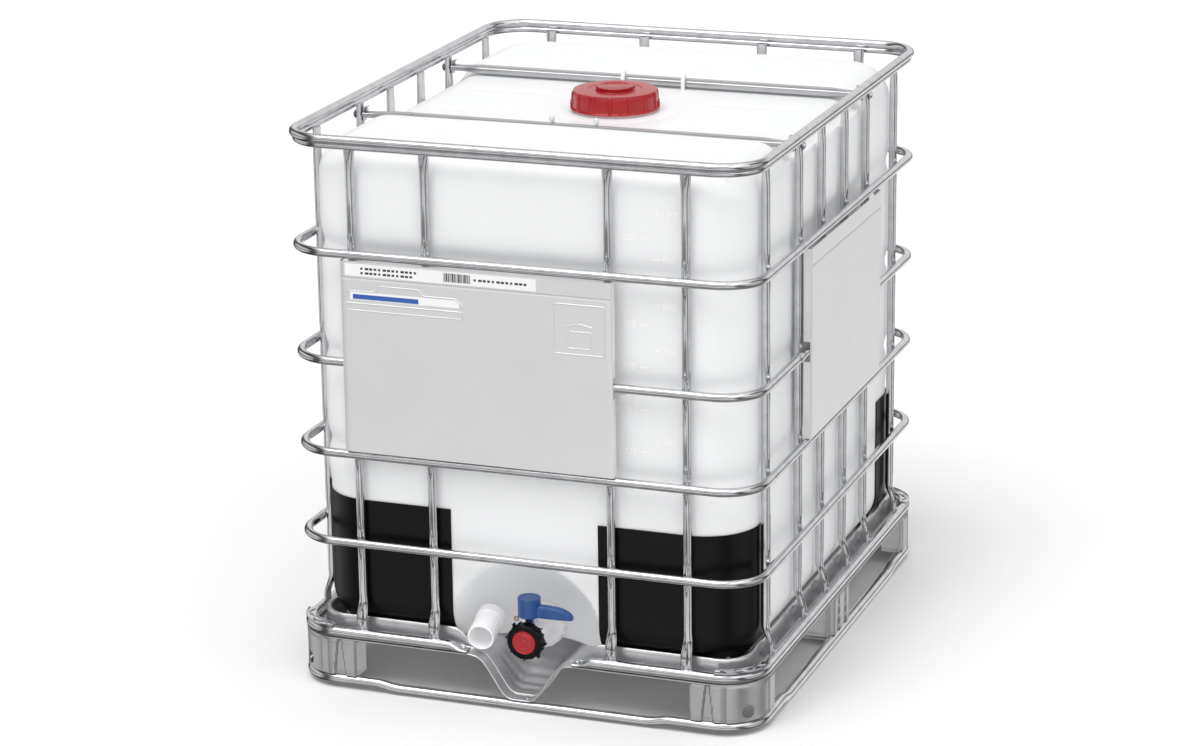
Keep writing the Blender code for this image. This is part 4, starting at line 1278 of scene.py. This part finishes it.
def make_protectors():
    """Four moulded shells round the bottle's lower corners."""
    flat_x, flat_y = BOTTLE_X - BOTTLE_CORNER_R, BOTTLE_Y - BOTTLE_CORNER_R
    for front, sy, reach_x in (("front", -1, 0.157), ("back", 1, 0.260)):
        for side, sx in (("left", -1), ("right", 1)):
            name = f"corner_protector_{front}_{side}"
            low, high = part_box(name)
            plan = [(x, BOTTLE_Y) for x in span(reach_x, flat_x, 12) + edge_places(flat_x, BOTTLE_CORNER_R)]
            plan += [(BOTTLE_X, y) for y in edge_places(flat_y, BOTTLE_CORNER_R)[-2::-1]]
            plan += [(BOTTLE_X, y) for y in span(flat_y, PROTECTOR_END_Y, 6)]
            rows = []
            for z in span(low.z + 0.002, high.z, 40):
                rows.append([shell_point(x * sx, y * sy, z) for x, y in plan])
            build(name, [grid(rows)], BLACK, thickness=0.0026, crease=60)


def shell_point(x, y, z):
    """A point just outside the bottle's wall, following its rounded bottom edge."""
    edge = BOTTLE_BOTTOM_R
    point = wall_only(x, y, z)
    drop = max(LOW_RIM - z, 0.0)
    inwards = edge - sqrt(max(edge**2 - drop**2, 0))
    return point + outwards(point) * (SHELL_GAP - inwards)


# ---------------------------------------------------------------- filler cap

SKIRT_PANELS = 14
SKIRT_R, SKIRT_LOW = 0.0880, 1.1160
SHOULDER_R, SHOULDER_DROP = 0.0904, 0.0075
CAP_PLATE_Z = 1.1436


def skirt_ribs(angle, radius, height):
    """The filler cap's grip: broad panels sunk between upright ribs, above a plain lower rim."""
    if radius < SKIRT_R or height < SKIRT_LOW:
        return 0.0
    turn = (angle * SKIRT_PANELS / (2 * pi)) % 1.0
    from_rib = min(turn, 1 - turn) * 2 * pi * radius / SKIRT_PANELS
    fine = 0.0005 * (1 - smoothstep((abs(from_rib - 0.0095) - 0.0008) / 0.0008))
    return -0.0026 * smoothstep((from_rib - 0.0016) / 0.0016) + fine


def ribbed(count, depth, level, ease, least_radius):
    """A change of radius for turned(): count ribs with sunk ground between them, past a least radius."""

    def change(angle, radius, height):
        if radius < least_radius:
            return 0.0
        return -depth * (1 - smoothstep((cos(angle * count) - level) / ease))

    return change


BUNG_GRIP = ribbed(20, 0.0010, -0.75, 0.3, 0.0360)
NUT_GRIP = ribbed(18, 0.0014, 0.55, 0.3, 0.0455)
OUTLET_CAP_GRIP = ribbed(16, 0.0022, 0.30, 0.35, 0.0372)


def make_filler_cap():
    """The screw cap with its ribbed skirt, rounded shoulder, seal and vent bung."""
    low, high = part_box("fill_cap")
    outer = high.x
    shoulder_z = high.z - SHOULDER_DROP
    outside = [(0.0835, high.z), (0.0850, high.z - 0.0002), (0.0866, high.z - 0.0008)]
    outside += [(0.0885, high.z - 0.0024), (0.0897, high.z - 0.0045)]
    outside += list(zip(span(SHOULDER_R, 0.0918, 8), span(shoulder_z, low.z + 0.0042, 8)))
    outside += [(outer - 0.0004, low.z + 0.0030), (outer, low.z + 0.0012), (outer, low.z)]
    inner = [(0.0822, low.z), (0.0822, CAP_PLATE_Z), (0.0305, CAP_PLATE_Z), (0.0305, high.z)]
    face = [(0.0420, high.z), (0.0428, high.z - 0.0008), (0.0560, high.z - 0.0008), (0.0568, high.z)]
    cap = turned(outside + inner + face, (0, 0, 0), UP, 336, skirt_ribs)
    lugs = []
    for angle in (20, 110, 200, 290):
        turn = Matrix.Rotation(radians(angle), 4, "Z")
        for aside in (-0.0105, 0.0105):
            place = Matrix.Translation((outer - 0.0030, aside, low.z + 0.002))
            lugs.append(moved(block((-0.0040, -0.0020, 0), (0.0026, 0.0020, 0.0120), 0.0012), turn @ place))
    build("fill_cap", [cap] + lugs, RED, crease=30)
    make_seal("fill_cap_seal", 0.0730, 72)
    make_bung()


def make_seal(name, bore, steps):
    """A flat ring seal with eased edges."""
    low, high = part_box(name)
    outline = [(high.x, high.z), (high.x, low.z), (bore, low.z), (bore, high.z)]
    build(name, [turned(rounded(outline, 0.0004, 2), (0, 0, 0), UP, steps)], SEAL)


def make_bung():
    """The vent bung: a flat notched head with a sunk middle, a tab, and its threaded plug."""
    low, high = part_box("vent_bung")
    top, under, outer = high.z, high.z - 0.0046, high.x
    rim_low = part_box("fill_cap")[1].z + 0.0006
    head = [(0, top - 0.0005), (0.0330, top - 0.0005), (0.0338, top), (outer - 0.0012, top)]
    head += [(outer, top - 0.0010), (outer, rim_low), (outer - 0.0011, rim_low), (outer - 0.0011, under)]
    head += [(0.0298, under)]
    z = under
    while z > low.z + 0.002:
        head += [(0.0298, z), (0.0290, z - 0.0007), (0.0290, z - 0.0013), (0.0298, z - 0.0020)]
        z -= 0.0023
    head += [(0.0285, low.z), (0, low.z)]
    tab = block((0.0350, -0.0050, under + 0.0002), (0.0425, 0.0050, top - 0.0008), 0.0014)
    shapes = [turned(head, (0, 0, 0), UP, 120, BUNG_GRIP), moved(tab, Matrix.Rotation(radians(20), 4, "Z"))]
    build("vent_bung", shapes, RED, crease=38)
    make_seal("vent_bung_seal", 0.0303, 64)


# ---------------------------------------------------------------- outlet valve

STEM_Y = -0.537
OUT = SIDES["front"]


def make_valve():
    """The valve's body, its union nut, and the disc on its stem."""
    place = (0, 0, VALVE_Z)
    body = [(0.0270, 0.5625), (0.0290, 0.5605), (0.0290, 0.5475), (0.0300, 0.5465), (0.0300, 0.5200)]
    body += [(0.0312, 0.5190), (0.0312, 0.5150), (0.0300, 0.5140), (0.0300, 0.4760), (0.0300, 0.4690)]
    body += [(0.0355, 0.4690), (0.0355, 0.4624), (0.0260, 0.4624), (0.0260, 0.5625)]
    boss = [(0, 0.1692), (0.0108, 0.1692), (0.0115, 0.1684), (0.0115, 0.1660), (0.0128, 0.1655)]
    boss += [(0.0135, 0.1600), (0, 0.1600)]
    shapes = [turned(body, place, OUT, 72), turned(boss, (0, STEM_Y, 0), UP, 40)]
    build("valve_body", shapes, WHITE)
    nut = [(0.0436, 0.4745), (0.0450, 0.4738), (0.0468, 0.4712), (0.0470, 0.4690), (0.0470, 0.4515)]
    nut += [(0.0462, 0.4500), (0.0364, 0.4500), (0.0364, 0.4693), (0.0304, 0.4693), (0.0304, 0.4745)]
    build("valve_union_nut", [turned(nut, place, OUT, 216, NUT_GRIP)], WHITE)
    blade = [(0, 0.0025), (0.0225, 0.0012), (0.0240, 0.0012), (0.0245, 0.0006), (0.0245, -0.0006)]
    blade += [(0.0240, -0.0012), (0.0225, -0.0012), (0, -0.0025)]
    stem = [(0, 0.1985), (0.0048, 0.1985), (0.0048, 0.1600), (0, 0.1600)]
    shapes = [turned(blade, (0, STEM_Y, VALVE_Z), OUT, 64), turned(stem, (0, STEM_Y, 0), UP, 24)]
    build("valve_disc", shapes, WHITE)
    make_outlet_cap()
    make_handle()


def make_outlet_cap():
    """The black screw cap with lugs and the red disc it holds."""
    place = (0, 0, VALVE_Z)
    cap = [(0.0290, 0.5735), (0.0330, 0.5728), (0.0360, 0.5705), (0.0380, 0.5660), (0.0388, 0.5620)]
    cap += [(0.0390, 0.5560), (0.0390, 0.5500), (0.0384, 0.5490), (0.0304, 0.5490), (0.0304, 0.5630)]
    cap += [(0.0254, 0.5630), (0.0254, 0.5722), (0.0262, 0.5735)]
    shapes = [turned(cap, place, OUT, 256, OUTLET_CAP_GRIP)]
    for i in range(8):
        turn = Matrix.Translation((0, 0, VALVE_Z)) @ Matrix.Rotation(radians(45 * i + 5), 4, "Y")
        lug = block((0.0370, -0.5640, -0.0011), (0.0432, -0.5500, 0.0011), 0.0008)
        shapes.append(moved(lug, turn))
    build("outlet_cap", shapes, BLACK, crease=38)
    disc = [(0, 0.5718), (0.0050, 0.5718), (0.0056, 0.5712), (0.0100, 0.5712), (0.0106, 0.5722)]
    disc += [(0.0165, 0.5722), (0.0172, 0.5714), (0.0222, 0.5714), (0.0230, 0.5725), (0.0242, 0.5725)]
    disc += [(0.0250, 0.5716), (0.0250, 0.5632), (0, 0.5632)]
    build("outlet_cap_disc", [turned(disc, place, OUT, 72)], RED)


LEVER = (
    (-0.004, 0.0120, 0.0262),
    (0.020, 0.0118, 0.0262),
    (0.0235, 0.0112, 0.0256),
    (0.040, 0.0110, 0.0252),
    (0.062, 0.0106, 0.0238),
    (0.074, 0.0100, 0.0212),
    (0.082, 0.0090, 0.0178),
    (0.088, 0.0076, 0.0142),
    (0.0915, 0.0060, 0.0112),
    (0.0930, 0.0046, 0.0094),
)


def make_handle():
    """The quarter-turn handle: a hub with a dished top, a neck, and a crowned lever."""
    top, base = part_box("valve_handle")[1].z, 0.1840
    radius = 0.0235
    hub = [(0, top - 0.0008), (radius - 0.0040, top - 0.0008), (radius - 0.0032, top), (radius - 0.0010, top)]
    hub += [(radius, top - 0.0010), (radius, base + 0.001), (radius - 0.001, base), (0.0095, base)]
    hub += [(0.0085, base - 0.002), (0.0085, 0.1712), (0.0078, 0.1697), (0, 0.1697)]
    shapes = [turned(hub, (0, STEM_Y, 0), UP, 64)]
    rows = []
    for x, half, crown in LEVER:
        outline = [(-half, 0.0008), (half, 0.0008), (half, crown * 0.70), (half * 0.60, crown)]
        outline += [(-half * 0.60, crown), (-half, crown * 0.70)]
        level = rounded(outline, 0.0018, 3)
        rows.append([(x, STEM_Y + p.x, base + p.y) for p in level])
    shapes.append(solid(rows))
    for x in (0.0300, 0.0360):
        rib_low = (x, STEM_Y - 0.0116, base + 0.004)
        rib_high = (x + 0.0010, STEM_Y - 0.0106, base + 0.016)
        shapes.append(block(rib_low, rib_high, 0.0003))
    build("valve_handle", shapes, BLUE, crease=38)
    eyelet = [(-0.0215 + a, STEM_Y - 0.0170, 0.1815 + b) for a, b in circle(0.0042, 28)]
    build("seal_eyelet", [swept(eyelet, circle(0.0014, 10), OUT, cyclic=True)], BRASS, crease=60)


def make_spout():
    """The loose discharge spout, an open tube with a collar."""
    base = Vector((-0.0965, -0.5020, 0.1580))
    direction = Vector((0.115, -0.985, -0.150)).normalized()
    spout = [(0.0275, 0.0868), (0.0275, 0.0260), (0.0295, 0.0240), (0.0295, 0.0)]
    spout += [(0.0240, 0.0), (0.0240, 0.0868), (0.0248, 0.0880), (0.0267, 0.0880)]
    build("discharge_spout", [turned(spout, base, direction, 72)], WHITE)


# ---------------------------------------------------------------- studio

CAMERA_AZIMUTH, CAMERA_ELEVATION, CAMERA_ROLL = 20.358, 17.061, -0.763
CAMERA_AIM = Vector((-0.0320, -0.0246, 0.5413))
CAMERA_DISTANCE = 7.510
CAMERA_LENS = 106.63


def make_camera():
    """The camera, at the photograph's viewing angle."""
    azimuth, elevation = radians(CAMERA_AZIMUTH), radians(CAMERA_ELEVATION)
    back = Vector((sin(azimuth) * cos(elevation), -cos(azimuth) * cos(elevation), sin(elevation)))
    data = bpy.data.cameras.new("camera")
    data.lens = CAMERA_LENS
    data.sensor_width = 36
    data.clip_end = 100
    camera = bpy.data.objects.new("camera", data)
    bpy.context.scene.collection.objects.link(camera)
    roll = Matrix.Rotation(radians(CAMERA_ROLL), 3, "Z")
    camera.matrix_world = Matrix.Translation(CAMERA_AIM + back * CAMERA_DISTANCE) @ (
        back.to_track_quat("Z", "Y").to_matrix() @ roll
    ).to_4x4()
    bpy.context.scene.camera = camera


def make_floor():
    """A plain white floor, which bright metal doesn't mirror."""
    mesh = bpy.data.meshes.new("floor")
    mesh.from_pydata([(-30, -30, 0), (30, -30, 0), (30, 30, 0), (-30, 30, 0)], [], [(0, 1, 2, 3)])
    mesh.materials.append(finish("floor_white", (0.93, 0.93, 0.93), 0.9, tint=0.0, bump=0.0))
    floor_obj = bpy.data.objects.new("floor", mesh)
    bpy.context.scene.collection.objects.link(floor_obj)
    floor_obj.visible_glossy = False


def sun(name, azimuth, elevation, strength, softness):
    """Even light from one direction, with shadows as soft as its angle is wide."""
    data = bpy.data.lights.new(name, "SUN")
    data.energy = strength
    data.angle = radians(softness)
    light = bpy.data.objects.new(name, data)
    bpy.context.scene.collection.objects.link(light)
    a, e = radians(azimuth), radians(elevation)
    towards = Vector((sin(a) * cos(e), -cos(a) * cos(e), sin(e)))
    light.rotation_euler = towards.to_track_quat("Z", "Y").to_euler()


SKY_RAMP = (
    (0.00, 0.25),
    (0.18, 0.35),
    (0.27, 0.95),
    (0.42, 0.90),
    (0.450, 0.12),
    (0.50, 0.06),
    (0.54, 0.85),
    (0.72, 1.00),
    (0.79, 0.35),
    (0.86, 0.40),
    (0.92, 1.15),
    (1.00, 1.15),
)
SIDE_RAMP = (
    (0.00, 0.95),
    (0.06, 0.90),
    (0.10, 0.12),
    (0.18, 0.12),
    (0.24, 0.95),
    (0.60, 1.00),
    (0.80, 1.00),
    (0.86, 0.10),
    (0.92, 0.16),
    (0.96, 0.95),
    (1.00, 1.00),
)


# a Mix node's colour sockets are found by their numbers, because its sockets share names
MIX_COLOUR_A, MIX_COLOUR_B, MIX_RESULT = 6, 7, 2


def ramp_node(tree, source, stops):
    """A grey ramp over a direction's component, which runs from -1 to 1."""
    shift = tree.nodes.new("ShaderNodeMapRange")
    shift.inputs["From Min"].default_value = -1
    link(tree, source, shift.inputs["Value"])
    ramp = tree.nodes.new("ShaderNodeValToRGB")
    elements = ramp.color_ramp.elements
    while len(elements) < len(stops):
        elements.new(0.5)
    for element, (position, grey) in zip(elements, stops):
        element.position = position
        element.color = (grey, grey, grey, 1)
    link(tree, shift.outputs["Result"], ramp.inputs["Fac"])
    return ramp.outputs["Color"]


def make_studio():
    """Soft light all round, with darker bands for the metal to mirror, and two soft suns."""
    world = bpy.data.worlds.new("studio")
    bpy.context.scene.world = world
    world.use_nodes = True
    tree = world.node_tree
    background = tree.nodes["Background"]
    coords = tree.nodes.new("ShaderNodeTexCoord")
    parts = tree.nodes.new("ShaderNodeSeparateXYZ")
    link(tree, coords.outputs["Generated"], parts.inputs["Vector"])
    both = tree.nodes.new("ShaderNodeMix")
    both.data_type = "RGBA"
    both.blend_type = "MULTIPLY"
    both.inputs["Factor"].default_value = 1.0
    link(tree, ramp_node(tree, parts.outputs["Z"], SKY_RAMP), both.inputs[MIX_COLOUR_A])
    link(tree, ramp_node(tree, parts.outputs["X"], SIDE_RAMP), both.inputs[MIX_COLOUR_B])
    link(tree, both.outputs[MIX_RESULT], background.inputs["Color"])
    background.inputs["Strength"].default_value = 1.0
    sun("key", -20, 62, 1.25, 40)
    sun("fill", 60, 40, 0.55, 50)
    scene = bpy.context.scene
    scene.view_settings.view_transform = "Standard"
    scene.view_settings.exposure = 0.0


# ---------------------------------------------------------------- assembly

make_rings()
make_top_ring()
make_uprights()
make_crossbars()
make_bar_brackets()
make_bolts()
make_plate("label_plate_front", "front")
make_plate("label_plate_right", "right")
make_plate_details()
make_pan()
make_pallet_frame()
make_runners()
make_feet()
make_bottle()
make_protectors()
make_filler_cap()
make_valve()
make_spout()
make_camera()
make_floor()
make_studio()
